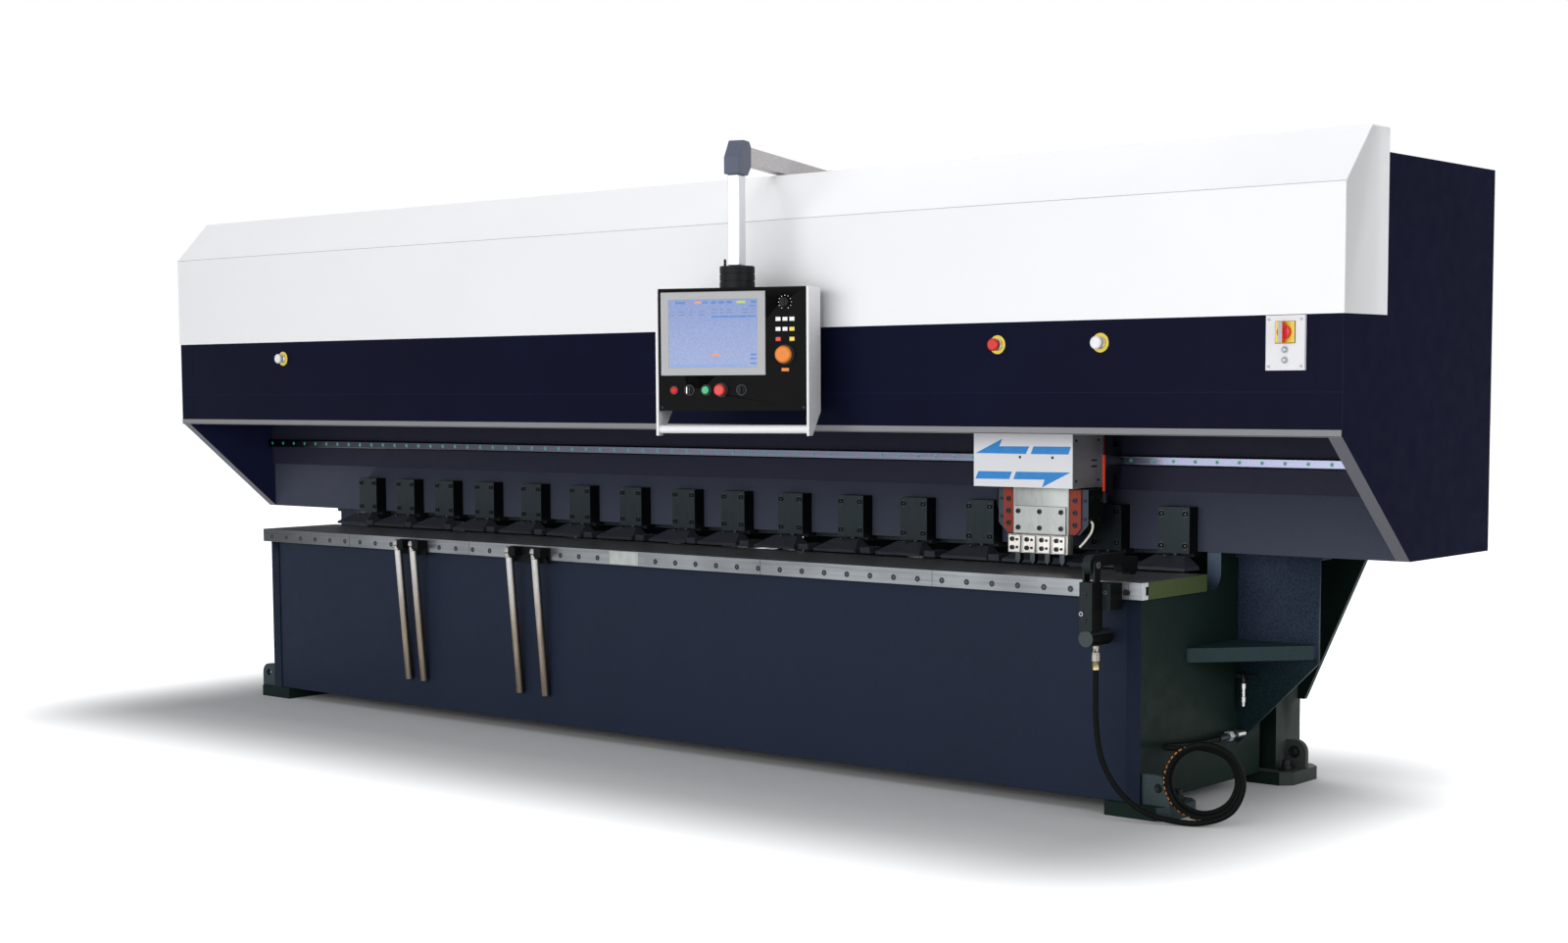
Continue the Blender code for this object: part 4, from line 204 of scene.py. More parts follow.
def mottled(tree, scale, first, second, stretch=(1.0, 1.0, 1.0), detail=4.0):
    """Colour that wanders between two by noise."""
    wander = spread(tree, stretched_noise(tree, scale, stretch, detail), 0.0, 1.0)
    return blend_colours(tree, wander, first, second)


def shade(colour, factor):
    """A colour made lighter or darker."""
    return tuple(min(1.0, channel * factor) for channel in colour)


def bump(tree, shader, height, strength, distance):
    """Drive the shader's normal from a height."""
    node = add_node(tree, "ShaderNodeBump", {"Height": height, "Strength": strength, "Distance": distance})
    tree.links.new(node.outputs["Normal"], shader.inputs["Normal"])


def coat(name, colour, roughness=0.4, speckle=0.0, peel=0.15, mottle=0.10, gloss=0.06, grain=260.0):
    """Paint or powder coat: slow mottling, fine speckle and orange peel."""
    made, tree, shader = new_material(name)
    tone = mottled(tree, 2.4, shade(colour, 1 - mottle), shade(colour, 1 + mottle))
    if speckle:
        tone = mottled(tree, grain, tone, shade(colour, 1 + speckle), detail=2.0)
    rough = spread(tree, stretched_noise(tree, 18.0), roughness * 0.88, roughness * 1.12)
    fill_inputs(tree, shader, {"Base Color": tone, "Roughness": rough, "Specular IOR Level": gloss})
    bump(tree, shader, stretched_noise(tree, 340.0, detail=2.0), peel, 0.0006)
    return made


def steel(name, colour, roughness=0.3, grain=(1.0, 1.0, 1.0), scale=60.0, stain=0.12, metallic=1.0,
          gloss=0.3):
    """Machined steel: streaks along the cut, faint stains and a little relief."""
    made, tree, shader = new_material(name)
    streaks = mottled(tree, scale, shade(colour, 0.84), shade(colour, 1.12), grain, 6.0)
    stains = mottled(tree, 3.2, (1 - stain,) * 3, (1.0, 1.0, 1.0), detail=6.0)
    rough = spread(tree, stretched_noise(tree, scale, grain, 5.0), roughness * 0.8, roughness * 1.25)
    fill_inputs(tree, shader, {"Base Color": blend_colours(tree, 1.0, streaks, stains, "MULTIPLY"),
                               "Metallic": metallic, "Specular IOR Level": gloss, "Roughness": rough})
    bump(tree, shader, stretched_noise(tree, scale * 1.7, grain, 5.0), 0.12, 0.0004)
    return made


def moulding(name, colour, roughness=0.35, grain=0.05, gloss=0.35):
    """Moulded plastic with faint tone changes and a very fine grain."""
    made, tree, shader = new_material(name)
    tone = mottled(tree, 60.0, shade(colour, 0.95), shade(colour, 1.05))
    rough = spread(tree, stretched_noise(tree, 300.0), roughness * 0.9, roughness * 1.1)
    fill_inputs(tree, shader, {"Base Color": tone, "Roughness": rough, "Specular IOR Level": gloss})
    bump(tree, shader, stretched_noise(tree, 900.0, detail=2.0), grain, 0.0003)
    return made


def glowing(name, colour, strength, scale=25.0, unevenness=0.055):
    """Lit display or lamp: faint unevenness and a steady light."""
    made, tree, shader = new_material(name)
    slow = spread(tree, stretched_noise(tree, scale), 0.0, 1.0)
    tone = blend_colours(tree, slow, shade(colour, 1 - unevenness), shade(colour, 1 + unevenness))
    dull = blend_colours(tree, slow, shade(colour, 0.18), shade(colour, 0.22))
    fill_inputs(tree, shader, {"Base Color": dull, "Emission Color": tone, "Emission Strength": strength,
                               "Specular IOR Level": 0.1, "Roughness": 0.2})
    return made


DASHES_PER_METRE = 62.0
DASH_SHARE = 0.62
MARKED_SIDE = 0.92          # where round the hose the printed line runs, as a share of its girth
MARKED_WIDTH = 0.045
MARKED_PLACE = 1.27         # middle of the stretch of hose that shows its printed line
MARKED_HALF = 0.17


def hose_cover(name):
    """Black rubber cover with a broken orange line printed along it."""
    made, tree, shader = new_material(name)
    where = add_node(tree, "ShaderNodeUVMap", uv_map="along").outputs["UV"]
    parts = add_node(tree, "ShaderNodeSeparateXYZ", {"Vector": where}).outputs
    dash = maths(tree, "FRACT", maths(tree, "MULTIPLY", parts["X"], DASHES_PER_METRE))
    dash = maths(tree, "LESS_THAN", dash, DASH_SHARE)
    offset = maths(tree, "ABSOLUTE", maths(tree, "SUBTRACT", parts["Y"], MARKED_SIDE))
    reach = maths(tree, "ABSOLUTE", maths(tree, "SUBTRACT", parts["X"], MARKED_PLACE))
    stretch = maths(tree, "LESS_THAN", reach, MARKED_HALF)
    mark = maths(tree, "MULTIPLY", maths(tree, "MULTIPLY", dash, stretch),
                 maths(tree, "LESS_THAN", offset, MARKED_WIDTH))
    worn = maths(tree, "GREATER_THAN", stretched_noise(tree, 90.0), 0.42)
    printed = maths(tree, "MULTIPLY", mark, worn)
    tone = blend_colours(tree, printed, (0.0050, 0.0060, 0.0058), (0.42, 0.17, 0.04))
    rough = spread(tree, stretched_noise(tree, 120.0), 0.40, 0.58)
    fill_inputs(tree, shader, {"Base Color": tone, "Specular IOR Level": 0.035, "Roughness": rough})
    bump(tree, shader, stretched_noise(tree, 700.0, detail=2.0), 0.2, 0.0004)
    return made


def recoloured(made, factor, colour):
    """Change a finish's colour where a factor is 1."""
    tree = made.node_tree
    target = tree.nodes["Principled BSDF"].inputs["Base Color"]
    tree.links.new(blend_colours(tree, factor, target.links[0].from_socket, colour), target)
    return made


def faded(made, axis, start, end, dimmed, tint=(1.0, 1.0, 1.0)):
    """Darken a finish smoothly towards one end, along an axis."""
    tree = made.node_tree
    shader = tree.nodes["Principled BSDF"]
    inputs = {"Value": object_axes(tree)[axis], "From Min": start, "From Max": end}
    level = add_node(tree, "ShaderNodeMapRange", inputs, interpolation_type="SMOOTHSTEP").outputs["Result"]
    lit = shader.inputs["Emission Strength"].default_value > 0.0
    target = shader.inputs["Emission Color" if lit else "Base Color"]
    wash = blend_colours(tree, level, dimmed, tint)
    tree.links.new(blend_colours(tree, 1.0, target.links[0].from_socket, wash, "MULTIPLY"), target)
    return made


def two_part_tube(name, low_colour, high_colour, height):
    """Plastic tube whose colour changes where one tube is pushed into another."""
    made = moulding(name, low_colour, 0.25, gloss=0.3)
    above = maths(made.node_tree, "GREATER_THAN", object_axes(made.node_tree)["Z"], height)
    return recoloured(made, above, high_colour)


def coat_with_seam_highlight(name, colour, height, half_width, roughness=0.4):
    """Powder coat with one level folded seam, drawn as a band 2.2 times lighter: a painted highlight."""
    made = coat(name, colour, roughness, gloss=0.02)
    seam = maths(made.node_tree, "COMPARE", object_axes(made.node_tree)["Z"], height, half_width)
    return recoloured(made, seam, shade(colour, 2.2))


# height of the hood's folded seam, where a painted highlight runs
HOOD_SEAM_Z = 1.316
AIR_TUBE_JOINT_Z = 1.112
ALONG_Z = (1.0, 1.0, 0.3)   # grain of steel that is drawn or ground upwards
FINE_ALONG_Z = (1.0, 1.0, 0.2)


def material(name):
    """The named finish, made the first time it is asked for."""
    if name in bpy.data.materials:
        return bpy.data.materials[name]
    c = colours()
    makers = {
        # painted sheet and castings
        # hood paint with a painted highlight along its folded seam
        "hood_coat": lambda: coat_with_seam_highlight(name, tuple(c.hood), HOOD_SEAM_Z, 0.0009, 0.34),
        # painted light: the hood paint 1.2 times lighter, for the outsides of the hood ends and the rear casing
        "hood_painted_light_coat": lambda: coat(name, shade(c.hood, 1.20), 0.5, gloss=0.008),
        # painted light: the hood paint 3.2 times lighter for the insides of the hood ends, which lie in shade
        "hood_inside_painted_light_coat": lambda: coat(name, shade(c.hood, 3.2), 0.5),
        "seam_coat": lambda: coat(name, shade(c.hood, 0.45), 0.5),
        "cap_coat": lambda: coat(name, tuple(c.cap), 0.32, peel=0.05, mottle=0.01, gloss=0.3),
        # painted shade: grey for the fold of the white cap
        "cap_fold_shade": lambda: coat(name, (0.50, 0.51, 0.53), 0.4, peel=0.05, mottle=0.02),
        "trim_coat": lambda: coat(name, (0.245, 0.245, 0.255), 0.42, mottle=0.03),
        "edge_coat": lambda: coat(name, (0.165, 0.168, 0.190), 0.45, mottle=0.03),
        "base_coat": lambda: coat(name, tuple(c.base), 0.48, speckle=0.25, peel=0.3),
        "side_coat": lambda: coat(name, tuple(c.sides), 0.52, speckle=0.30, peel=0.3, mottle=0.2),
        # painted shade: the webs turn darker and greener towards the bottom, under the shelf
        "outrigger_coat": lambda: faded(
            coat(name, tuple(c.outrigger), 0.50, speckle=1.5, peel=0.5, grain=170.0),
            "Z", 0.38, 0.56, (0.36, 0.60, 0.42)),
        "throat_coat": lambda: coat(name, (0.045, 0.066, 0.100), 0.45, speckle=0.5, gloss=0.2),
        "wing_edge_coat": lambda: coat(name, (0.030, 0.050, 0.048), 0.5, speckle=0.3),
        "shelf_coat": lambda: coat(name, (0.0130, 0.0270, 0.0300), 0.46, speckle=0.6, peel=0.4, gloss=0.12),
        "leg_coat": lambda: coat(name, (0.0330, 0.0420, 0.0370), 0.5, speckle=0.4, peel=0.3, gloss=0.1),
        "foot_coat": lambda: coat(name, (0.0300, 0.0440, 0.0480), 0.5, speckle=0.5, peel=0.4, gloss=0.1),
        "front_edge_coat": lambda: coat(name, (0.0108, 0.0155, 0.0300), 0.5, speckle=0.3, peel=0.3),
        "slab_end_coat": lambda: coat(name, (0.060, 0.082, 0.030), 0.45, speckle=0.2),
        "beam_coat": lambda: coat(name, tuple(c.beam), 0.50, speckle=0.35, peel=0.3),
        "pad_coat": lambda: coat(name, tuple(c.pad), 0.46, speckle=0.2, peel=0.2),
        "gib_liner": lambda: coat(name, tuple(c.gibs), 0.5, speckle=0.2, mottle=0.18),
        "cover_coat": lambda: coat(name, (0.74, 0.75, 0.78), 0.34, peel=0.06, mottle=0.03),
        "housing_coat": lambda: coat(name, (0.045, 0.055, 0.072), 0.36, speckle=0.2, peel=0.1, mottle=0.2),
        # painted shade: near black for the housing's sideways faces
        "flank_shade_coat": lambda: coat(name, (0.0060, 0.0085, 0.0075), 0.45, gloss=0.02),
        "motor_coat": lambda: coat(name, (0.012, 0.013, 0.015), 0.42, peel=0.3),
        "clamp_black": lambda: coat(name, (0.0045, 0.0050, 0.0050), 0.42, peel=0.25, gloss=0.02),
        # painted light: lighter black for the side clamp's front and top faces
        "clamp_lit_face_coat": lambda: coat(name, (0.0125, 0.0170, 0.0180), 0.40, speckle=0.4, peel=0.4,
                                        gloss=0.08),
        "cylinder_end_coat": lambda: coat(name, (0.0400, 0.0500, 0.0500), 0.40, speckle=0.4, gloss=0.1),
        "pendant_coat": lambda: coat(name, (0.0042, 0.0043, 0.0045), 0.36, peel=0.2, gloss=0.025),
        "bezel_coat": lambda: coat(name, (0.44, 0.44, 0.45), 0.40, peel=0.1, mottle=0.03),
        "cheek_coat": lambda: coat(name, (0.80, 0.795, 0.81), 0.42, peel=0.08, mottle=0.02, gloss=0.2),
        "arm_coat": lambda: coat(name, (0.115, 0.127, 0.172), 0.44, peel=0.2),
        "swivel_black": lambda: coat(name, (0.012, 0.0125, 0.014), 0.40, peel=0.15),
        "switch_plate": lambda: coat(name, (0.78, 0.78, 0.80), 0.38, peel=0.08, mottle=0.02),
        # machined steel and other metal
        "clamp_steel": lambda: steel(name, tuple(c.clamps), 0.42, (1.0, 1.0, 0.15), 90.0, metallic=0.35,
                                     gloss=0.05),
        "clamp_dark": lambda: steel(name, (0.006, 0.007, 0.008), 0.5, scale=90.0, metallic=0.3, gloss=0.05),
        "foot_steel": lambda: steel(
            name, (0.058, 0.064, 0.078), 0.36, (0.2, 1.0, 1.0), 80.0, metallic=0.4, gloss=0.05),
        "foot_ridge": lambda: steel(
            name, (0.030, 0.034, 0.042), 0.34, (0.2, 1.0, 1.0), 80.0, metallic=0.5, gloss=0.05),
        # painted shade: the ground top grows darker towards its left end
        "table_steel_shaded_left": lambda: faded(
            steel(name, (0.215, 0.215, 0.215), 0.36, (0.04, 1.0, 1.0), 120.0, 0.25, metallic=0.85),
            "X", -2.2, 1.2, (0.80, 0.80, 0.84)),
        # painted shade: darker towards the left end
        "strip_steel_shaded_left": lambda: faded(
            steel(name, (0.23, 0.245, 0.26), 0.34, (0.03, 1.0, 1.0), 140.0, 0.35, metallic=0.85),
            "X", -2.45, -1.0, (0.24, 0.25, 0.24)),
        "strip_end": lambda: steel(name, (0.55, 0.58, 0.60), 0.4, scale=120.0, stain=0.2, metallic=0.7),
        "strip_shadow": lambda: steel(name, (0.10, 0.11, 0.12), 0.4, scale=120.0, metallic=0.6, gloss=0.05),
        # painted shade: the rails grow much darker towards their left ends
        "rail_steel_shaded_left": lambda: faded(
            steel(name, (0.160, 0.168, 0.235), 0.24, (0.02, 1.0, 1.0), 160.0, 0.06),
            "X", -2.4, 0.9, (0.20, 0.24, 0.22)),
        "bar_steel": lambda: faded(
            steel(name, (0.42, 0.41, 0.40), 0.24, (1.0, 1.0, 0.03), 130.0, 0.25, metallic=0.95),
            "Z", 0.36, 0.66, (0.62, 0.52, 0.42)),
        "slide_steel": lambda: steel(name, (0.30, 0.32, 0.31), 0.40, ALONG_Z, 60.0, 0.22, metallic=0.7),
        "plate_steel": lambda: steel(name, (0.38, 0.40, 0.39), 0.42, (1.0, 1.0, 0.5), 40.0, 0.25,
                                     metallic=0.6),
        "holder_steel": lambda: steel(name, (0.42, 0.42, 0.40), 0.34, FINE_ALONG_Z, 90.0, 0.22,
                                      metallic=0.85),
        "tool_steel": lambda: steel(name, (0.045, 0.055, 0.065), 0.30, FINE_ALONG_Z, 120.0, 0.2,
                                    metallic=0.9),
        "clamp_plate_steel": lambda: steel(name, (0.60, 0.57, 0.54), 0.34, FINE_ALONG_Z, 90.0, 0.2,
                                           metallic=0.75),
        "cover_side_steel": lambda: steel(
            name, (0.270, 0.275, 0.285), 0.42, (0.3, 0.3, 1.0), 14.0, 0.55, metallic=0.25),
        "dark_machined": lambda: steel(name, (0.030, 0.036, 0.046), 0.38, ALONG_Z, 80.0, metallic=0.6,
                                       gloss=0.05),
        "black_oxide": lambda: steel(name, (0.026, 0.029, 0.033), 0.34, scale=200.0, metallic=0.6,
                                     gloss=0.05),
        "screw_grey": lambda: steel(name, (0.085, 0.095, 0.105), 0.34, scale=200.0, metallic=0.6, gloss=0.1),
        "plug_ring": lambda: steel(name, (0.22, 0.22, 0.26), 0.3, scale=200.0, metallic=0.8),
        "bolt_zinc": lambda: steel(name, (0.58, 0.58, 0.57), 0.28, scale=260.0, stain=0.1),
        "aluminium": lambda: steel(
            name, (0.47, 0.50, 0.565), 0.45, (1.0, 1.0, 0.04), 150.0, 0.05, metallic=0.0, gloss=0.05),
        "aluminium_arm": lambda: steel(name, (0.46, 0.44, 0.45), 0.38, (1.0, 0.1, 1.0), 120.0, 0.06,
                                       metallic=0.7),
        "fitting_steel": lambda: steel(name, (0.30, 0.285, 0.25), 0.32, ALONG_Z, 200.0, 0.25, metallic=0.8),
        "brass": lambda: steel(name, (0.36, 0.31, 0.20), 0.30, ALONG_Z, 150.0, 0.2),
        # plastic and rubber
        "arrow_film": lambda: moulding(name, tuple(c.arrows), 0.35, gloss=0.15),
        "plug_cap": lambda: moulding(name, tuple(c.plugs), 0.4),
        "plastic_black": lambda: moulding(name, (0.010, 0.010, 0.012), 0.38, gloss=0.08),
        "plastic_white": lambda: moulding(name, (0.80, 0.80, 0.82), 0.32),
        "plastic_red": lambda: moulding(name, (0.62, 0.022, 0.016), 0.30),
        "plastic_orange": lambda: moulding(name, (0.72, 0.205, 0.012), 0.32, gloss=0.25),
        "plastic_yellow": lambda: moulding(name, (0.80, 0.60, 0.07), 0.36),
        "plastic_green": lambda: moulding(name, (0.03, 0.42, 0.17), 0.32),
        "ring_dark": lambda: moulding(name, (0.045, 0.047, 0.050), 0.35, gloss=0.08),
        "label_grey": lambda: moulding(name, (0.42, 0.43, 0.45), 0.45),
        "nozzle_tube": lambda: moulding(name, (0.72, 0.70, 0.60), 0.35),
        "rubber_black": lambda: moulding(name, (0.009, 0.0095, 0.010), 0.55, 0.3, gloss=0.08),
        "air_tube": lambda: two_part_tube(name, (0.80, 0.060, 0.015), (0.050, 0.0020, 0.0050),
                                          AIR_TUBE_JOINT_Z),
        "hose_cover": lambda: hose_cover(name),
        # display and lamp
        "display_film": lambda: faded(
            glowing(name, (0.400, 0.500, 0.830), 0.58, 160.0, 0.10),
            "Z", SCREEN_BOTTOM + 0.03, SCREEN_TOP, (1.12, 1.06, 1.02), (0.78, 0.82, 0.92)),
        "screen_blue": lambda: glowing(name, (0.16, 0.36, 0.80), 0.55),
        "screen_pale": lambda: glowing(name, (0.42, 0.50, 0.76), 0.85),
        "screen_soft": lambda: glowing(name, (0.26, 0.42, 0.80), 0.75),
        "screen_grey": lambda: glowing(name, (0.22, 0.26, 0.46), 0.75),
        "screen_orange": lambda: glowing(name, (0.90, 0.36, 0.22), 0.75),
        "screen_lime": lambda: glowing(name, (0.55, 0.68, 0.18), 0.75),
        "lamp_red": lambda: glowing(name, (0.85, 0.03, 0.03), 0.6),
    }
    return makers[name]()


# ================================================================ mesh building
def finish_faces(bm, faces, finish):
    """Turn new faces outwards and give them a finish."""
    bmesh.ops.recalc_face_normals(bm, faces=faces)
    for face in faces:
        face.material_index = finish


def add_stack(bm, axis, layers, finish=0, looped=False):
    """Closed shape through (outline, level) layers; a looped one joins the last to the first."""
    first, second, along = AXES[axis]
    rings = []
    for outline, level in layers:
        ring = []
        for point in outline:
            place = [0.0, 0.0, 0.0]
            place[first], place[second], place[along] = point[0], point[1], level
            ring.append(bm.verts.new(place))
        rings.append(ring)
    faces = [] if looped else [bm.faces.new(rings[0]), bm.faces.new(rings[-1])]
    for lower, upper in zip(rings, rings[1:] + rings[:1] if looped else rings[1:]):
        for i in range(len(lower)):
            j = (i + 1) % len(lower)
            faces.append(bm.faces.new((lower[i], lower[j], upper[j], upper[i])))
    finish_faces(bm, faces, finish)


def add_prism(bm, axis, outline, start, end, finish=0):
    """Closed prism from an outline across an axis."""
    add_stack(bm, axis, [(outline, start), (outline, end)], finish)


def rectangle(left, right, bottom, top):
    """Corners of an upright rectangle."""
    return [(left, bottom), (right, bottom), (right, top), (left, top)]


def add_box(bm, low, high, finish=0):
    """Closed box between two corners."""
    xs, ys, zs = (sorted(pair) for pair in zip(low, high))
    add_prism(bm, "Z", rectangle(*xs, *ys), *zs, finish)


def circle(centre, radius, sides, turn=0.0):
    """Points of a regular polygon."""
    angles = [turn + 2 * math.pi * i / sides for i in range(sides)]
    return [(centre[0] + radius * math.cos(a), centre[1] + radius * math.sin(a)) for a in angles]


def add_lathe(bm, axis, centre, profile, sides=32, finish=0):
    """Closed turned shape from (position, radius) steps."""
    add_stack(bm, axis, [(circle(centre, radius, sides), position) for position, radius in profile], finish)


def add_ring(bm, axis, centre, outer, inner, start, end, sides=32, finish=0):
    """Closed flat ring with a hole."""
    section = ((start, outer), (end, outer), (end, inner), (start, inner))
    layers = [(circle(centre, radius, sides), level) for level, radius in section]
    add_stack(bm, axis, layers, finish, looped=True)


def add_tube(bm, path, radius, sides=12, finish=0, uv=None):
    """Closed round tube along a path, with its length and girth written to a UV layer if one is given."""
    points = [Vector(place) for place in path]
    tangents = []
    for i, place in enumerate(points):
        before = points[max(0, i - 1)]
        after = points[min(len(points) - 1, i + 1)]
        tangents.append((after - before).normalized())
    side = tangents[0].orthogonal().normalized()
    rings = []
    travelled = [0.0]
    for i, place in enumerate(points):
        if i:
            travelled.append(travelled[-1] + (place - points[i - 1]).length)
            side = (tangents[i - 1].rotation_difference(tangents[i]) @ side).normalized()
        other = tangents[i].cross(side)
        ring = []
        for k in range(sides):
            angle = 2 * math.pi * k / sides
            ring.append(bm.verts.new(place + radius * (math.cos(angle) * side + math.sin(angle) * other)))
        rings.append(ring)
    faces = []
    for i in range(len(rings) - 1):
        for k in range(sides):
            j = (k + 1) % sides
            face = bm.faces.new((rings[i][k], rings[i][j], rings[i + 1][j], rings[i + 1][k]))
            faces.append(face)
            if uv is not None:
                spots = ((i, k), (i, k + 1), (i + 1, k + 1), (i + 1, k))
                for loop, (along, around) in zip(face.loops, spots):
                    loop[uv].uv = (travelled[along], around / sides)
    faces += [bm.faces.new(rings[0]), bm.faces.new(rings[-1])]
    finish_faces(bm, faces, finish)


def smooth_path(route):
    """Fine points along a centripetal spline through a route."""
    points = [Vector(place) for place in route]
    padded = [2 * points[0] - points[1], *points, 2 * points[-1] - points[-2]]
    fine = []
    for a, b, c, d in zip(padded, padded[1:], padded[2:], padded[3:]):
        t1 = (b - a).length ** 0.5
        t2 = t1 + (c - b).length ** 0.5
        t3 = t2 + (d - c).length ** 0.5
        for i in range(12):
            t = t1 + (t2 - t1) * i / 12
            ab = a * ((t1 - t) / t1) + b * (t / t1)
            bc = b * ((t2 - t) / (t2 - t1)) + c * ((t - t1) / (t2 - t1))
            cd = c * ((t3 - t) / (t3 - t2)) + d * ((t - t2) / (t3 - t2))
            abc = ab * ((t2 - t) / t2) + bc * (t / t2)
            bcd = bc * ((t3 - t) / (t3 - t1)) + cd * ((t - t1) / (t3 - t1))
            fine.append(abc * ((t2 - t) / (t2 - t1)) + bcd * ((t - t1) / (t2 - t1)))
    fine.append(points[-1])
    return fine


def spaced(fine, spacing):
    """The same line with evenly spaced points."""
    lengths = [0.0]
    for a, b in zip(fine, fine[1:]):
        lengths.append(lengths[-1] + (b - a).length)
    count = max(2, round(lengths[-1] / spacing))
    made = []
    place = 0
    for i in range(count + 1):
        want = lengths[-1] * i / count
        while place < len(fine) - 2 and lengths[place + 1] < want:
            place += 1
        share = (want - lengths[place]) / (lengths[place + 1] - lengths[place])
        made.append(fine[place].lerp(fine[place + 1], share))
    return made


def smooth_faces(mesh):
    """Smooth shading that keeps the sharp edges."""
    mesh.shade_smooth()
    mesh.set_sharp_from_angle(angle=math.radians(35))


def piece(name, body, bm, finishes, edge=0.0, place=None):
    """Turn a mesh under construction into a finished piece that rides on a body."""
    if place is not None:
        bm.transform(place)
    mesh = bpy.data.meshes.new(name)
    bm.to_mesh(mesh)
    bm.free()
    for finish in finishes:
        mesh.materials.append(material(finish))
    smooth_faces(mesh)
    made = bpy.data.objects.new(name, mesh)
    bpy.context.scene.collection.objects.link(made)
    if edge:
        add_edge_break(made, edge)
    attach(made, body)
    return made


def add_edge_break(made, width):
    """Broken edges on a plate or block."""
    bevel = made.modifiers.new("edge_break", "BEVEL")
    bevel.width = width
    bevel.segments = 2
    bevel.limit_method = "ANGLE"
    bevel.angle_limit = math.radians(40)
    bevel.harden_normals = False


def dress(node, finishes, rule=None, edge=0.0):
    """Show a CAD node as a merged copy; a rule picks each face's finish from its centre and normal."""
    source = frame["nodes"][node]
    bm = bmesh.new()
    bm.from_mesh(source.data)
    bmesh.ops.remove_doubles(bm, verts=bm.verts, dist=0.00001)
    bmesh.ops.dissolve_limit(bm, angle_limit=math.radians(0.8), verts=bm.verts, edges=bm.edges)
    for face in bm.faces:
        face.material_index = rule(face.calc_center_median(), face.normal) if rule else 0
    made = piece(node + "_finish", BODY_OF[node], bm, finishes, edge)
    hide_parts(node)
    return made


def dress_all(table, edge=0.0):
    """Dress several nodes, each in one finish."""
    for node, finish in table.items():
        dress(node, [finish], edge=edge)


# ================================================================ geometry nodes
def start_tree(name, sizes_of_shape):
    """New geometry tree with its named inputs: returns the tree and the sockets of its inputs."""
    tree = bpy.data.node_groups.new(name, "GeometryNodeTree")
    inputs = (("Places", "Geometry", None), *sizes_of_shape, ("Turn", "Vector", (0.0, 0.0, 0.0)),
              ("Finish", "Material", None))
    for label, kind, value in inputs:
        socket = tree.interface.new_socket(name=label, in_out="INPUT", socket_type="NodeSocket" + kind)
        if value is not None:
            socket.default_value = value
    tree.interface.new_socket(name="Result", in_out="OUTPUT", socket_type="NodeSocketGeometry")
    return tree, tree.nodes.new("NodeGroupInput").outputs


def finish_tree(tree, source, shape):
    """Put the shape on every place, make it real, give it its finish and send it out."""
    turn = add_node(tree, "FunctionNodeEulerToRotation", {0: source["Turn"]}).outputs[0]
    copies = add_node(tree, "GeometryNodeInstanceOnPoints",
                      {"Points": source["Places"], "Instance": shape, "Rotation": turn}).outputs[0]
    real = add_node(tree, "GeometryNodeRealizeInstances", {0: copies}).outputs[0]
    paint = add_node(tree, "GeometryNodeSetMaterial",
                     {"Geometry": real, "Material": source["Finish"]}).outputs[0]
    add_node(tree, "NodeGroupOutput", {0: paint})
    return tree


def joined(tree, *shapes):
    """Several shapes as one."""
    node = tree.nodes.new("GeometryNodeJoinGeometry")
    for shape in shapes:
        tree.links.new(shape, node.inputs[0])
    return node.outputs[0]


def socket_screw_tree(name):
    """Socket-head screws: a ring head with a hexagon socket on every place."""
    tree, source = start_tree(name, (("Head Radius", "Float", 0.008), ("Head Height", "Float", 0.004),
                                     ("Socket Radius", "Float", 0.004)))
    rims = [add_node(tree, "GeometryNodeCurvePrimitiveCircle", {"Resolution": sides, "Radius": source[label]})
            for sides, label in ((20, "Head Radius"), (6, "Socket Radius"))]
    fill = add_node(tree, "GeometryNodeFillCurve", {"Curve": joined(tree, *(rim.outputs[0] for rim in rims))})
    pull = add_node(tree, "GeometryNodeExtrudeMesh", {"Mesh": fill.outputs[0], "Individual": False,
                                                      "Offset Scale": source["Head Height"]})
    floor = add_node(tree, "GeometryNodeMeshCylinder", {
        "Vertices": 12, "Radius": maths(tree, "MULTIPLY", source["Socket Radius"], 1.25),
        "Depth": maths(tree, "MULTIPLY", source["Head Height"], 0.35)})
    return finish_tree(tree, source, joined(tree, pull.outputs[0], floor.outputs[0]))


def round_cap_tree(name):
    """Low round caps, such as plugs and rivets, one on every place."""
    tree, source = start_tree(name, (("Radius", "Float", 0.005), ("Height", "Float", 0.001)))
    depth = maths(tree, "MULTIPLY", source["Height"], 2.0)
    cap = add_node(tree, "GeometryNodeMeshCylinder",
                   {"Vertices": 18, "Radius": source["Radius"], "Depth": depth})
    return finish_tree(tree, source, cap.outputs["Mesh"])


def block_tree(name):
    """Small blocks, such as ticks and slots, one on every place."""
    tree, source = start_tree(name, (("Size", "Vector", (0.01, 0.01, 0.01)),))
    block = add_node(tree, "GeometryNodeMeshCube", {"Size": source["Size"]})
    return finish_tree(tree, source, block.outputs["Mesh"])


TREES = {"Socket Screws": socket_screw_tree, "Round Caps": round_cap_tree, "Small Blocks": block_tree}


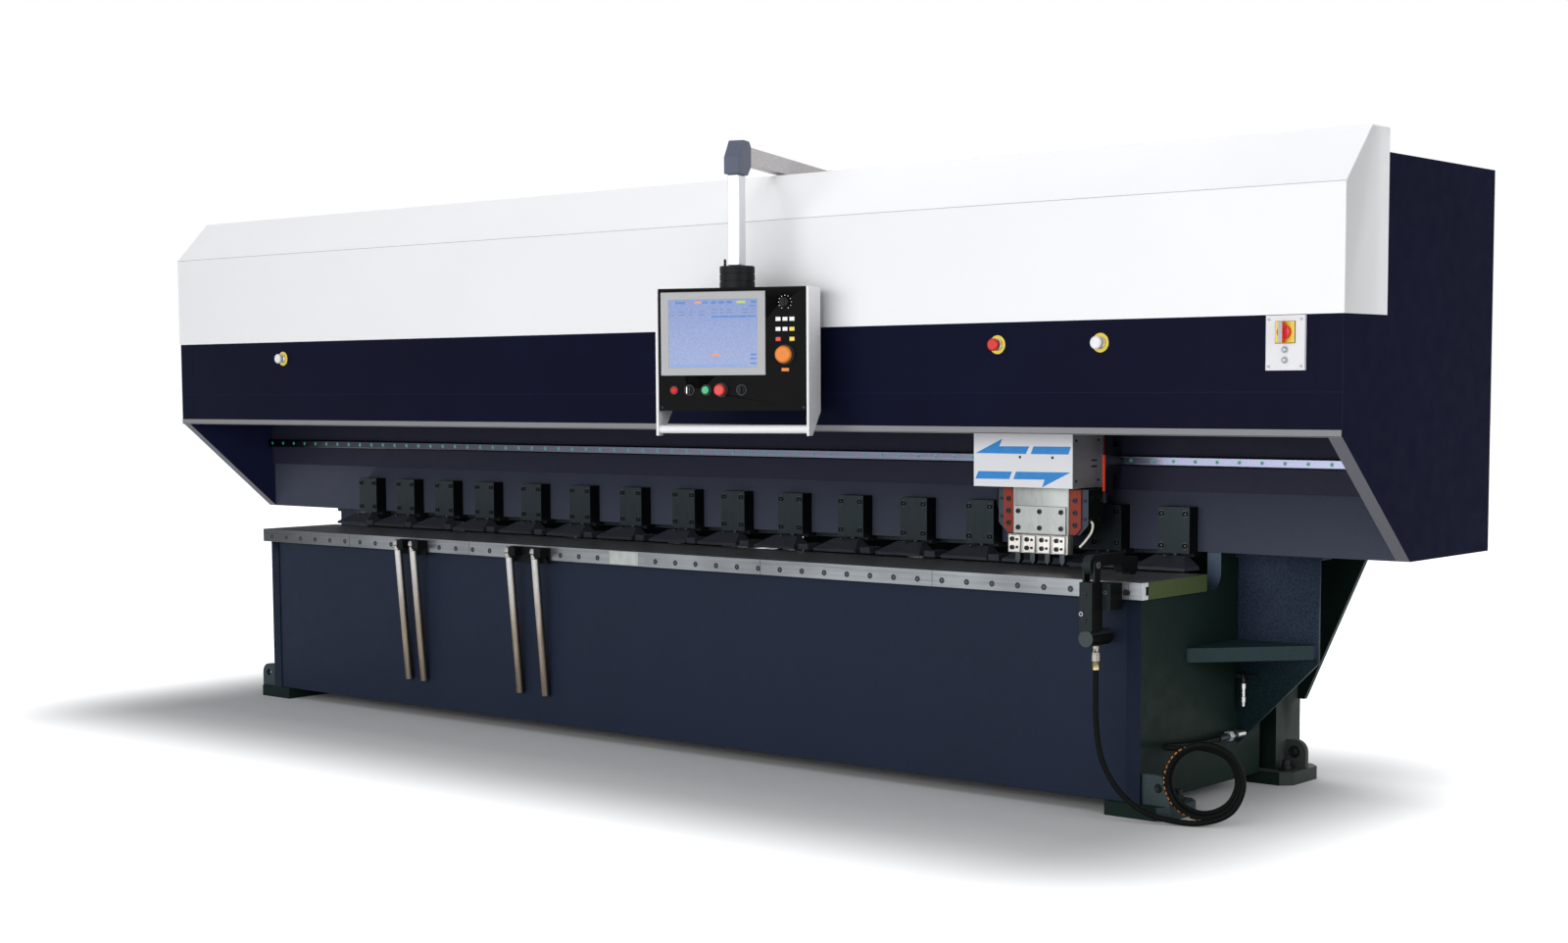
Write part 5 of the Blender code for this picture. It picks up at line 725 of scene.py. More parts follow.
def repeated(name, body, tree_name, places, values, finish):
    """Run a tree on a set of places and keep the result as a plain mesh that rides on a body."""
    points = bpy.data.meshes.new(name)
    points.from_pydata([tuple(place) for place in places], [], [])
    made = bpy.data.objects.new(name, points)
    bpy.context.scene.collection.objects.link(made)
    step = made.modifiers.new("repeat", "NODES")
    tree = bpy.data.node_groups.get(tree_name) or TREES[tree_name](tree_name)
    step.node_group = tree
    values = {**values, "Finish": material(finish)}
    for item in tree.interface.items_tree:
        if item.in_out == "INPUT" and item.name in values:
            step[item.identifier] = values[item.name]
    bpy.context.view_layer.update()
    graph = bpy.context.evaluated_depsgraph_get()
    result = bpy.data.meshes.new_from_object(made.evaluated_get(graph))
    made.modifiers.remove(step)
    made.data = result
    result.name = name
    smooth_faces(result)
    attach(made, body)
    return made


def screws(name, body, places, radius, height, turn, finish="black_oxide"):
    """Socket-head screws on a set of places."""
    values = {"Head Radius": radius, "Head Height": height, "Socket Radius": radius * 0.52, "Turn": turn}
    return repeated(name, body, "Socket Screws", places, values, finish)


def caps(name, body, places, radius, height, turn, finish):
    """Round caps on a set of places."""
    values = {"Radius": radius, "Height": height, "Turn": turn}
    return repeated(name, body, "Round Caps", places, values, finish)


def blocks(name, body, places, size, turn, finish):
    """Small blocks on a set of places."""
    return repeated(name, body, "Small Blocks", places, {"Size": size, "Turn": turn}, finish)


def steps(start, end, pitch):
    """Even places from start to end."""
    count = int(round((end - start) / pitch))
    return [start + (end - start) * i / count for i in range(count + 1)]


# ================================================================ stage
CAMERA_PLACE = Vector((5.746, -6.1995, 1.342))
CAMERA_YAW = math.radians(40.507)
CAMERA_PITCH = math.radians(-4.476)
CAMERA_ROLL = math.radians(-0.3125)
CAMERA_LENS = 50.72
CAMERA_SHIFT = 0.0557
FLOOR_HALF = 60.0
SHADOW_CENTRE = (0.0, -0.10, 0.0)
SHADOW_HALF = (2.20, 0.78, 1.0)
FADE_END = 1.15
SOFTBOXES = (
    # name, place, target, size, power
    ("front_softbox", (1.0, -9.0, 2.2), (0.0, 0.0, 1.1), (10.0, 4.4), 532.0),
    ("right_softbox", (8.5, -1.0, 3.0), (2.0, 0.0, 1.0), (3.5, 3.0), 125.0),
    ("roof_softbox", (0.0, 1.8, 6.5), (0.0, -0.4, 0.0), (8.0, 2.5), 240.0),
)


def make_camera():
    """Camera a little above eye height, right of the machine's front."""
    forward = Vector((-math.sin(CAMERA_YAW) * math.cos(CAMERA_PITCH),
                      math.cos(CAMERA_YAW) * math.cos(CAMERA_PITCH), math.sin(CAMERA_PITCH)))
    level = Vector((math.cos(CAMERA_YAW), math.sin(CAMERA_YAW), 0.0))
    rise = level.cross(forward)
    right = math.cos(CAMERA_ROLL) * level + math.sin(CAMERA_ROLL) * rise
    up = math.cos(CAMERA_ROLL) * rise - math.sin(CAMERA_ROLL) * level
    lens = bpy.data.cameras.new("camera")
    lens.lens = CAMERA_LENS
    lens.sensor_width = 36.0
    lens.shift_y = CAMERA_SHIFT
    lens.clip_end = 200.0
    camera = bpy.data.objects.new("camera", lens)
    turn = Matrix((right, up, -forward)).transposed().to_4x4()
    camera.matrix_world = Matrix.Translation(CAMERA_PLACE) @ turn
    bpy.context.scene.collection.objects.link(camera)
    bpy.context.scene.camera = camera


def add_softbox(name, place, target, size, power):
    """Rectangular area lamp aimed at a point."""
    lamp = bpy.data.lights.new(name, "AREA")
    lamp.shape = "RECTANGLE"
    lamp.size, lamp.size_y = size
    lamp.energy = power
    made = bpy.data.objects.new(name, lamp)
    aim = (Vector(target) - Vector(place)).to_track_quat("-Z", "Y")
    made.matrix_world = Matrix.Translation(place) @ aim.to_matrix().to_4x4()
    bpy.context.scene.collection.objects.link(made)


def seen_directly(tree):
    """Factor that is 1 for rays from the camera, from gloss and through glass."""
    path = tree.nodes.new("ShaderNodeLightPath").outputs
    total = path["Is Camera Ray"]
    for label in ("Is Glossy Ray", "Is Transmission Ray"):
        total = maths(tree, "MAXIMUM", total, path[label])
    return total


def make_surroundings():
    """White surroundings that light the machine more softly than they look."""
    world = bpy.data.worlds.new("surroundings")
    bpy.context.scene.world = world
    world.use_nodes = True
    tree = world.node_tree
    tree.nodes.clear()
    soft, white = (add_node(tree, "ShaderNodeBackground", {"Color": colour, "Strength": strength}).outputs[0]
                   for colour, strength in (((0.93, 0.96, 1.0, 1.0), 0.36), ((1.0, 1.0, 1.0, 1.0), 1.0)))
    chosen = add_node(tree, "ShaderNodeMixShader", {0: seen_directly(tree), 1: soft, 2: white})
    add_node(tree, "ShaderNodeOutputWorld", {"Surface": chosen.outputs[0]})


def floor_finish():
    """Pale floor finish that fades into the white behind, away from the machine's shadow."""
    made, tree, shader = new_material("floor_pale")
    tone = mottled(tree, 0.6, (0.69, 0.69, 0.695), (0.71, 0.71, 0.71))
    fill_inputs(tree, shader, {"Base Color": tone, "Roughness": 0.9, "Specular IOR Level": 0.1})
    away = add_node(tree, "ShaderNodeTexCoord").outputs["Object"]
    for operation, *value in (("SUBTRACT", SHADOW_CENTRE), ("ABSOLUTE",), ("SUBTRACT", SHADOW_HALF),
                              ("MAXIMUM", (0.0, 0.0, 0.0))):
        inputs = dict(enumerate((away, *value)))
        away = add_node(tree, "ShaderNodeVectorMath", inputs, operation=operation).outputs[0]
    reach = add_node(tree, "ShaderNodeVectorMath", {0: away}, operation="LENGTH").outputs["Value"]
    fade = add_node(tree, "ShaderNodeMapRange", {"Value": reach, "From Max": FADE_END},
                    interpolation_type="SMOOTHSTEP").outputs["Result"]
    strength = maths(tree, "MULTIPLY", seen_directly(tree), fade)
    glow = add_node(tree, "ShaderNodeEmission", {"Strength": strength})
    both = add_node(tree, "ShaderNodeAddShader", {0: shader.outputs[0], 1: glow.outputs[0]})
    tree.links.new(both.outputs[0], tree.nodes["Material Output"].inputs["Surface"])
    return made


def make_floor():
    """Plain floor under the machine."""
    bm = bmesh.new()
    edge = FLOOR_HALF
    bm.faces.new([bm.verts.new((x, y, 0.0)) for x, y in rectangle(-edge, edge, -edge, edge)])
    mesh = bpy.data.meshes.new("floor")
    bm.to_mesh(mesh)
    bm.free()
    mesh.materials.append(floor_finish())
    floor = bpy.data.objects.new("floor", mesh)
    bpy.context.scene.collection.objects.link(floor)


class GROOVER_OT_stage(Operator):
    """Camera, lamps, floor and surroundings."""

    bl_idname = "groover.stage"
    bl_label = "Stage"

    def execute(self, context):
        context.scene.view_settings.view_transform = "Standard"
        make_camera()
        make_surroundings()
        make_floor()
        for softbox in SOFTBOXES:
            add_softbox(*softbox)
        return {"FINISHED"}


# ================================================================ hose
GAP = 0.0003
COIL_STEPS = 8              # route places in one turn of the coil
WALL_PORT = (0.025, 0.197)  # the wall coupling's distance from the side wall, and its height
HOSE_RADIUS = 0.009
HOSE_SPACING = 0.014
COIL_OUT = 0.210
COIL_Y = RAIL_FACE_Y - 0.416
COIL_Z = 0.136
COIL_HEADING = math.radians(25.0)
COIL_RADIUS = 0.122
COIL_TURNS = 2.5
COIL_SHRINK = 0.010
COIL_PITCH = 0.022
HOSE_DROP = ((0.0, 0.372), (0.001, 0.320), (0.007, 0.255), (0.023, 0.190))
HOSE_FLOOR = ((-0.050, -0.527, 0.128), (-0.003, -0.519, 0.075), (0.055, -0.503, 0.036),
              (0.120, -0.476, 0.016))
HOSE_RETURN = ((0.134, -0.443, 0.234), (0.070, -0.408, 0.226), (0.033, -0.335, 0.217),
               (0.0255, -0.240, 0.207), (0.025, -0.140, 0.2005))


def hose_route():
    """Places the hose passes, from the clamp's coupling to the wall's."""
    low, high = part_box("hose_fitting")
    fitting_y = (low.y + high.y) / 2
    route = [(SIDE_CLAMP_X, fitting_y, low.z - GAP)]
    route += [(SIDE_CLAMP_X + x, fitting_y, z) for x, z in HOSE_DROP]
    route += [(SIDE_WALL_X + x, RAIL_FACE_Y + y, z) for x, y, z in HOSE_FLOOR]
    along = (math.cos(COIL_HEADING), math.sin(COIL_HEADING))
    away = (-along[1], along[0])
    for i in range(int(COIL_TURNS * COIL_STEPS) + 1):
        turns = i / COIL_STEPS
        angle = 2 * math.pi * turns - math.pi / 2
        radius = COIL_RADIUS - COIL_SHRINK * turns
        side = radius * math.cos(angle)
        shift = COIL_PITCH * (turns - COIL_TURNS / 2)
        route.append((SIDE_WALL_X + COIL_OUT + along[0] * side + away[0] * shift,
                      COIL_Y + along[1] * side + away[1] * shift, COIL_Z + radius * math.sin(angle)))
    route += [(SIDE_WALL_X + x, RAIL_FACE_Y + y, z) for x, y, z in HOSE_RETURN]
    route.append((SIDE_WALL_X + WALL_PORT[0], RAIL_FACE_Y - GAP, WALL_PORT[1]))
    return [Vector(place) for place in route]


def make_hose():
    """Air hose with its printed line."""
    path = spaced(smooth_path(hose_route()), HOSE_SPACING)
    bm = bmesh.new()
    add_tube(bm, path, HOSE_RADIUS, 14, 0, bm.loops.layers.uv.new("along"))
    hose = piece("air_hose", "frame", bm, ["hose_cover"])
    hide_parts("side_clamp_hose")


class GROOVER_OT_hose(Operator):
    """Air hose of the side clamp."""

    bl_idname = "groover.hose"
    bl_label = "Hose"

    def execute(self, context):
        make_hose()
        return {"FINISHED"}


# ================================================================ base and table
# The side frames are one paint shown in several tones by where faces lie and point: painted light and shade, with
# the dark green side walls for the shade under the hood.
SIDE_FINISHES = ["side_coat", "outrigger_coat", "throat_coat", "wing_edge_coat", "shelf_coat", "leg_coat",
                 "front_edge_coat", "foot_coat"]
FOOT_BOLT_X = SIDE_WALL_X + 0.058
REAR_LUG_Y = 0.5625
REAR_LUG_BOLT_Z = 0.099
LEVELLING_BOLT_YS = (-0.215, 0.490)


def side_frame_finish(centre, normal):
    """Name of the finish on a face of a side frame, from where the face is and which way it points; the finishes
    are tones of one paint that stand for painted light and shade.
    """
    if abs(centre.x) < SIDE_WALL_X + 0.001:
        if normal.y < -0.7 and centre.y < -0.3 and centre.z > 0.05:
            return "front_edge_coat"
        in_throat = abs(normal.x) < 0.3 and centre.z > 0.6 and centre.y < 0.25
        return "throat_coat" if in_throat else "side_coat"
    if centre.z < 0.045 or centre.y > 0.5:
        if centre.y > 0.60 and centre.z > 0.3:
            return "wing_edge_coat" if abs(normal.y) < 0.3 else "side_coat"
        return "leg_coat" if centre.y > 0.4 else "foot_coat"
    if centre.y < 0.0 and centre.z < 0.2:
        return "foot_coat"
    return "shelf_coat" if 0.455 < centre.z < 0.510 and centre.y < 0.27 else "outrigger_coat"


def make_side_frames():
    """Side plates with their outriggers and feet."""
    for node in ("side_frame_left", "side_frame_right"):
        dress(node, SIDE_FINISHES,
              lambda centre, normal: SIDE_FINISHES.index(side_frame_finish(centre, normal)))
    lug_bolts, levelling_bolts = bmesh.new(), bmesh.new()
    for x in (-FOOT_BOLT_X, FOOT_BOLT_X):
        y, spot = REAR_LUG_Y, (x, REAR_LUG_BOLT_Z)
        add_lathe(lug_bolts, "Y", spot, [(y - 0.0105, 0.021), (y - 0.0135, 0.021)], 24)
        add_prism(lug_bolts, "Y", circle(spot, 0.0165, 6, math.pi / 6), y - 0.0135, y - 0.026)
        add_lathe(lug_bolts, "Y", spot, [(y + 0.012, 0.0118), (y - 0.028, 0.0118)], 20)
        for y in LEVELLING_BOLT_YS:
            add_lathe(levelling_bolts, "Z", (x, y), [(0.0435, 0.026), (0.0465, 0.026)], 24)
            add_prism(levelling_bolts, "Z", circle((x, y), 0.019, 6), 0.0465, 0.060)
            add_lathe(levelling_bolts, "Z", (x, y), [(0.0465, 0.0125), (0.078, 0.0125), (0.080, 0.0105)], 20)
    piece("foot_bolts", "frame", lug_bolts, ["black_oxide"], 0.001)
    piece("levelling_bolts", "frame", levelling_bolts, ["black_oxide"], 0.001)


REAR_PANEL_Y = 0.3685           # back face of the sheet itself, ahead of the gauge arms on it
REAR_PANEL_SCREW_ROWS = (0.090, 0.535)


def make_panels():
    """Front and rear panels of the base."""
    dress("base_front_panel", ["base_coat"], edge=sizes().edge_break)
    dress("base_rear_panel", ["base_coat"])
    places = [(x, REAR_PANEL_Y, z) for x in steps(-2.05, 2.05, 0.41) for z in REAR_PANEL_SCREW_ROWS]
    screws("rear_panel_screws", "frame", places, 0.009, 0.005, FACE_BACK)


class GROOVER_OT_base(Operator):
    """Side plates, feet and panels."""

    bl_idname = "groover.base"
    bl_label = "Base"

    def execute(self, context):
        make_side_frames()
        make_panels()
        return {"FINISHED"}


EDGE_SCREW_Z = 0.703
EDGE_PLATE_LEFT, EDGE_PLATE_RIGHT = -0.086, 0.062       # plate over the joint in the middle of the edge
EDGE_JOINTS = (-1.62, -0.87, 0.66, 1.41, 2.16)


def table_rule(centre, normal):
    """Ground top, slab end or painted underside."""
    if abs(normal.x) > 0.7 and abs(centre.x) > 2.1:
        return 1
    return 0 if abs(normal.z) > 0.6 and centre.z > 0.72 else 2


def make_table():
    """Table slab, its edge strip and their fasteners."""
    dress("table_top", ["table_steel_shaded_left", "slab_end_coat", "base_coat"], table_rule)
    dress("table_edge_strip", ["strip_steel_shaded_left", "strip_end"],
          lambda centre, normal: 1 if abs(normal.x) > 0.7 else 0, 0.0008)
    size = sizes()
    front = STRIP_FACE_Y
    middle = (EDGE_PLATE_LEFT + EDGE_PLATE_RIGHT) / 2
    places = [(x, front, EDGE_SCREW_Z) for x in steps(-2.15, 2.15, size.edge_pitch) if abs(x - middle) > 0.08]
    screws("edge_screws", "frame", places, size.edge_radius, 0.0012, FACE_FRONT)
    # dark discs round the edge screws: painted shade in their counterbores
    caps("edge_screw_shadow_discs", "frame", places, size.edge_radius * 1.25, 0.0004, FACE_FRONT, "strip_shadow")
    bm = bmesh.new()
    add_box(bm, (EDGE_PLATE_LEFT, front - 0.0008, 0.684), (EDGE_PLATE_RIGHT, front + 0.001, 0.733))
    piece("edge_joint_plate", "frame", bm, ["plate_steel"], 0.0004)
    blocks("edge_joints", "frame", [(x, front, 0.708) for x in EDGE_JOINTS], (0.0012, 0.0008, 0.052), FACE_UP,
           "black_oxide")


class GROOVER_OT_table(Operator):
    """Table slab and edge strip."""

    bl_idname = "groover.table"
    bl_label = "Table"

    def execute(self, context):
        make_table()
        return {"FINISHED"}


def make_supports():
    """Swinging sheet supports and their brackets."""
    for number in (1, 2):
        dress(f"support_bracket_{number}", ["clamp_dark"], edge=0.0012)
    for number in (1, 2, 3, 4):
        dress(f"support_arm_{number}", ["bar_steel"], edge=0.001)


class GROOVER_OT_supports(Operator):
    """Sheet supports on the front."""

    bl_idname = "groover.supports"
    bl_label = "Sheet supports"

    def execute(self, context):
        make_supports()
        return {"FINISHED"}


# ================================================================ crossbeam, rails and clamps
def beam_rule(centre, normal):
    """Crossbeam's face, the band behind the rail, or its ends and back."""
    if centre.z > 0.985 and centre.y < 0.3:
        return 1
    return 2 if abs(normal.x) > 0.7 or centre.y > 0.5 else 0


def make_beam():
    """Crossbeam, rails, rack and rail plugs."""
    dress("crossbeam", ["beam_coat", "pad_coat", "side_coat"], beam_rule)
    size = sizes()
    for node in ("lower_guide_rail", "upper_guide_rail"):
        dress(node, ["rail_steel_shaded_left"], edge=0.0015)
        low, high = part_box(node)
        places = [(x, low.y, (low.z + high.z) / 2) for x in steps(-2.76, 2.76, size.plug_pitch)]
        caps(node + "_plugs", "frame", places, size.plug_radius, 0.0007, FACE_FRONT, "plug_cap")
        caps(node + "_rings", "frame", places, size.plug_radius * 1.45, 0.0003, FACE_FRONT, "plug_ring")
    dress("gear_rack", ["dark_machined"], edge=0.0008)
    low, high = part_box("gear_rack")
    places = [(x, low.y, (low.z + high.z) / 2 + 0.004) for x in steps(low.x + 0.1, high.x - 0.1, 0.2)]
    screws("rack_screws", "frame", places, 0.0065, 0.0015, FACE_FRONT)


def make_clamps():
    """Clamp blocks with their screws, and the press feet under them."""
    # the blocks' fronts and tops take the lighter finish and their sides the darker one: painted shade between the
    # blocks
    dress("clamp_cylinder_row", ["clamp_steel", "clamp_dark"],
          lambda centre, normal: 0 if normal.y < -0.5 or normal.z > 0.6 else 1, 0.0015)
    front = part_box("clamp_cylinder_row")[0].y
    radius = sizes().clamp_radius
    corners = [(x + dx, front, z) for x in CLAMPS for dx in (-0.044, 0.044) for z in (0.817, 0.921)]
    screws("clamp_screws", "frame", corners, radius, 0.0055, FACE_FRONT, "clamp_dark")
    # grey rings round the clamp screws: painted highlights on the rims
    caps("clamp_screw_rim_highlights", "frame", corners, radius * 1.22, 0.0015, FACE_FRONT, "screw_grey")
    dress("press_foot_row", ["foot_steel", "foot_ridge"],
          lambda centre, normal: 1 if normal.y < -0.6 and centre.z < 0.757 else 0, 0.001)
    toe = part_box("press_foot_row")[0].y
    places = [(x, toe + 0.0465, 0.787) for x in CLAMPS]
    screws("press_foot_screws", "press_feet", places, 0.007, 0.004, FACE_UP)


class GROOVER_OT_beam(Operator):
    """Crossbeam, guide rails and rack."""

    bl_idname = "groover.beam"
    bl_label = "Crossbeam and rails"

    def execute(self, context):
        make_beam()
        return {"FINISHED"}


class GROOVER_OT_clamps(Operator):
    """Clamp blocks and press feet."""

    bl_idname = "groover.clamps"
    bl_label = "Clamps and press feet"

    def execute(self, context):
        make_clamps()
        return {"FINISHED"}


# ================================================================ hood
TRIM_HALF = 2.843
CAP_FOLD_Z = 1.916
END_SEAM_X = 2.7585
END_SEAM_TOP_Z = 1.540
LOUVRE_BAYS = (-1.8, -0.6, 0.6, 1.8)
HOOD_BUTTONS = {"hood_button_left": "plastic_white", "hood_button_red": "plastic_red",
                "hood_button_right": "plastic_white"}
SWITCH_Z = 1.490            # middle of the rotary switch
SWITCH_PLATE_Z = 1.459      # middle of the four plate screws
SWITCH_BUTTON_ZS = (1.439, 1.409)


def hood_side_rule(centre, normal):
    """Outside of a hood end, its pale front edge, or its inside; the outside and inside take lightened copies of
    the hood paint as painted light.
    """
    if abs(normal.x) < 0.3 and normal.y < -0.3 and centre.y < 0.14 and centre.z < 1.188:
        return 1
    return 2 if normal.x * centre.x < -0.7 else 0


def make_hood():
    """Hood panels, white cap, trim strips and seams."""
    dress("hood_front_panel", ["hood_coat"])
    for node in ("hood_side_left", "hood_side_right"):
        # the hood ends and rear casing show lightened copies of the hood paint: painted light
        dress(node, ["hood_painted_light_coat", "edge_coat", "hood_inside_painted_light_coat"], hood_side_rule)
    dress("hood_rear_casing", ["hood_painted_light_coat"])
    dress("hood_cap", ["cap_coat"])
    face, edge = HOOD_FACE_Y, HOOD_EDGE
    bm = bmesh.new()
    add_box(bm, (-TRIM_HALF, face - 0.0020, edge + 0.001), (TRIM_HALF, face - 0.0003, edge + 0.020))
    add_box(bm, (-HOOD_HALF, face - 0.0020, edge - 0.0018), (HOOD_HALF, face + 0.030, edge - 0.0003))
    piece("hood_trim", "frame", bm, ["trim_coat"], 0.0005)
    # A thin grey band along the cap's fold: painted shade on the crease.
    bm = bmesh.new()
    add_box(bm, (-CAP_HIGH.x, CAP_LOW.y - 0.0006, CAP_FOLD_Z - 0.0012),
            (CAP_HIGH.x, CAP_LOW.y + 0.001, CAP_FOLD_Z + 0.0012))
    piece("cap_fold_line", "frame", bm, ["cap_fold_shade"])
    bm = bmesh.new()
    for x in (-END_SEAM_X, END_SEAM_X):
        add_box(bm, (x - 0.0009, face - 0.0005, edge + 0.021), (x + 0.0009, face + 0.001, END_SEAM_TOP_Z))
    piece("hood_end_seams", "frame", bm, ["seam_coat"])
    low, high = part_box("hood_rear_casing")
    places = [(x, high.y, z) for x in steps(-2.7, 2.7, 0.45) for z in (low.z + 0.04, high.z - 0.04)]
    screws("casing_screws", "frame", places, 0.008, 0.004, FACE_BACK)
    slots = [(x, high.y, z) for bay in LOUVRE_BAYS for x in steps(bay - 0.15, bay + 0.15, 0.1)
             for z in steps(1.70, 1.84, 0.02)]
    blocks("casing_louvres", "frame", slots, (0.07, 0.006, 0.006), (math.radians(-35), 0.0, 0.0), "seam_coat")


def make_hood_buttons():
    """Push buttons on the hood, each on a yellow ring."""
    rings, bezels = bmesh.new(), bmesh.new()
    face, radius = HOOD_FACE_Y, sizes().ring_radius
    for node, finish in HOOD_BUTTONS.items():
        dress(node, [finish], edge=0.002)
        low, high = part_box(node)
        place = ((low.x + high.x) / 2, (low.z + high.z) / 2)
        add_lathe(rings, "Y", place,
                  [(face - 0.0002, radius), (face - 0.0016, radius), (face - 0.0022, radius - 0.001)], 40)
        add_lathe(bezels, "Y", place,
                  [(face - 0.0020, 0.0195), (face - 0.0085, 0.0195), (face - 0.0105, 0.0175)], 40)
    piece("hood_button_rings", "frame", rings, ["plastic_yellow"])
    piece("hood_button_bezels", "frame", bezels, ["bolt_zinc"])


def make_main_switch():
    """Main switch: plate, yellow square, handle and two small buttons."""
    dress("main_switch_plate", ["switch_plate"], edge=0.002)
    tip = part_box("main_switch_handle")[0].y
    dress("main_switch_handle", ["plastic_red", "label_grey"],
          lambda centre, normal: 1 if normal.y < -0.9 and centre.y < tip + 0.001 else 0, 0.0006)
    dress_all({"start_button": "plug_ring", "stop_button": "plug_ring"}, 0.0006)
    low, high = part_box("main_switch_plate")
    x, face = (low.x + high.x) / 2, low.y
    bm = bmesh.new()
    square = rectangle(x - 0.031, x + 0.031, SWITCH_Z - 0.031, SWITCH_Z + 0.031)
    rim = rectangle(x - 0.032, x + 0.033, SWITCH_Z - 0.033, SWITCH_Z + 0.032)
    add_prism(bm, "Y", square, face - 0.0011, face - 0.0019, 0)
    add_prism(bm, "Y", rim, face - 0.0003, face - 0.0010, 1)
    piece("switch_square", "frame", bm, ["plastic_yellow", "plastic_black"])
    corners = [(x + dx, face, SWITCH_PLATE_Z + dz) for dx in (-0.052, 0.052) for dz in (-0.068, 0.068)]
    screws("switch_screws", "frame", corners, 0.0045, 0.002, FACE_FRONT, "plug_ring")
    bm = bmesh.new()
    for z in SWITCH_BUTTON_ZS:
        add_ring(bm, "Y", (x, z), 0.0105, 0.0069, face - 0.0002, face - 0.0030)
    piece("switch_rings", "frame", bm, ["label_grey"])


class GROOVER_OT_hood(Operator):
    """Hood, cap and their trims."""

    bl_idname = "groover.hood"
    bl_label = "Hood"

    def execute(self, context):
        make_hood()
        return {"FINISHED"}


class GROOVER_OT_switches(Operator):
    """Hood buttons and the main switch."""

    bl_idname = "groover.switches"
    bl_label = "Hood switches"

    def execute(self, context):
        make_hood_buttons()
        make_main_switch()
        return {"FINISHED"}


# ================================================================ head
ARROW_SHAPES = (
    ((0.0083, 1.1160), (0.1152, 1.1640), (0.1036, 1.1395), (0.2221, 1.1405), (0.2085, 1.1155)),
    ((0.2387, 1.1407), (0.3835, 1.1415), (0.3738, 1.1165), (0.2280, 1.1157)),
    ((0.0190, 1.0560), (0.1541, 1.0570), (0.1434, 1.0320), (0.0073, 1.0310)),
    ((0.1706, 1.0572), (0.3816, 1.0585), (0.2727, 1.0080), (0.2834, 1.0333), (0.1599, 1.0322)),
)


SMALL_SCREW = 0.0045
SLIDE_FRONT = -0.1395
SLIDE_PLATE_FRONT = -0.1475
TOOL_TIP_Z = 0.7885         # below this the holder shows the tools
TOOL_XS = [HEAD_X + (i - 1.5) * 0.058 for i in range(4)]
TOOL_CLAMP_THICKNESS = 0.0072
MIST_TUBE = ((0.172, -0.118, 0.900), (0.190, -0.124, 0.893), (0.194, -0.134, 0.868), (0.180, -0.148, 0.838),
             (0.160, -0.152, 0.816))
SENSOR_CABLE = ((-0.196, -0.090, 1.030), (-0.202, -0.092, 0.985), (-0.200, -0.094, 0.940),
                (-0.188, -0.095, 0.915), (-0.174, -0.095, 0.912))


def make_cover():
    """Head cover with its direction arrows."""
    dress("head_cover", ["cover_coat", "cover_side_steel"],
          lambda centre, normal: 1 if abs(normal.x) > 0.6 else 0, 0.001)
    low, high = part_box("head_cover")
    left, right = low.x, high.x
    bm = bmesh.new()
    for shape in ARROW_SHAPES:
        add_prism(bm, "Y", [(left + x, z) for x, z in shape], low.y - 0.0002, low.y - 0.0007)
    piece("cover_arrows", "carriage", bm, ["arrow_film"])
    front = [(left + x, low.y, 1.105) for x in (0.186, 0.313)]
    screws("cover_screws", "carriage", front, SMALL_SCREW, 0.002, FACE_FRONT)
    side = [(y, z) for y in (low.y + 0.020, high.y - 0.030) for z in (1.03, 1.16, 1.30, 1.45, 1.58)]
    screws("cover_side_screws", "carriage", [(right, y, z) for y, z in side], SMALL_SCREW, 0.002, FACE_RIGHT)
    screws("cover_left_screws", "carriage", [(left, y, z) for y, z in side], SMALL_SCREW, 0.002, FACE_LEFT)
    slots = [(right, high.y - 0.055, z) for z in (1.075, 1.095)]
    blocks("cover_slots", "carriage", slots, (0.0012, 0.034, 0.006), FACE_UP, "black_oxide")


def housing_rule(centre, normal):
    """Housing, red-brown liner, motor or flank, from where a face is; the flanks, faces that point sideways, are
    near black as painted shade.
    """
    if centre.z > 1.475:
        return 2
    if centre.y < -0.1285 or (centre.y < -0.1275 and abs(normal.y) < 0.5):
        return 1
    return 3 if abs(normal.x) > 0.7 else 0


def make_housing():
    """Head housing with its gibs and fasteners."""
    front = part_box("head_housing")[0].y
    dress("head_housing", ["housing_coat", "gib_liner", "motor_coat", "flank_shade_coat"], housing_rule, 0.0008)
    gibs = [(HEAD_X + side * 0.1305, front, z) for side in (-1, 1) for z in (0.885, 0.925, 0.965)]
    screws("gib_screws", "carriage", gibs, 0.0085, 0.004, FACE_FRONT)
    edge = [(HEAD_X + side * 0.1635, front + 0.008, z) for side in (-1, 1) for z in (0.905, 0.965)]
    screws("housing_screws", "carriage", edge, 0.0055, 0.003, FACE_FRONT)
    flank = [(HEAD_X + 0.176, y, z) for y in (-0.105, -0.065) for z in (0.905, 0.975)]
    screws("housing_flank_screws", "carriage", flank, 0.0065, 0.003, FACE_RIGHT)


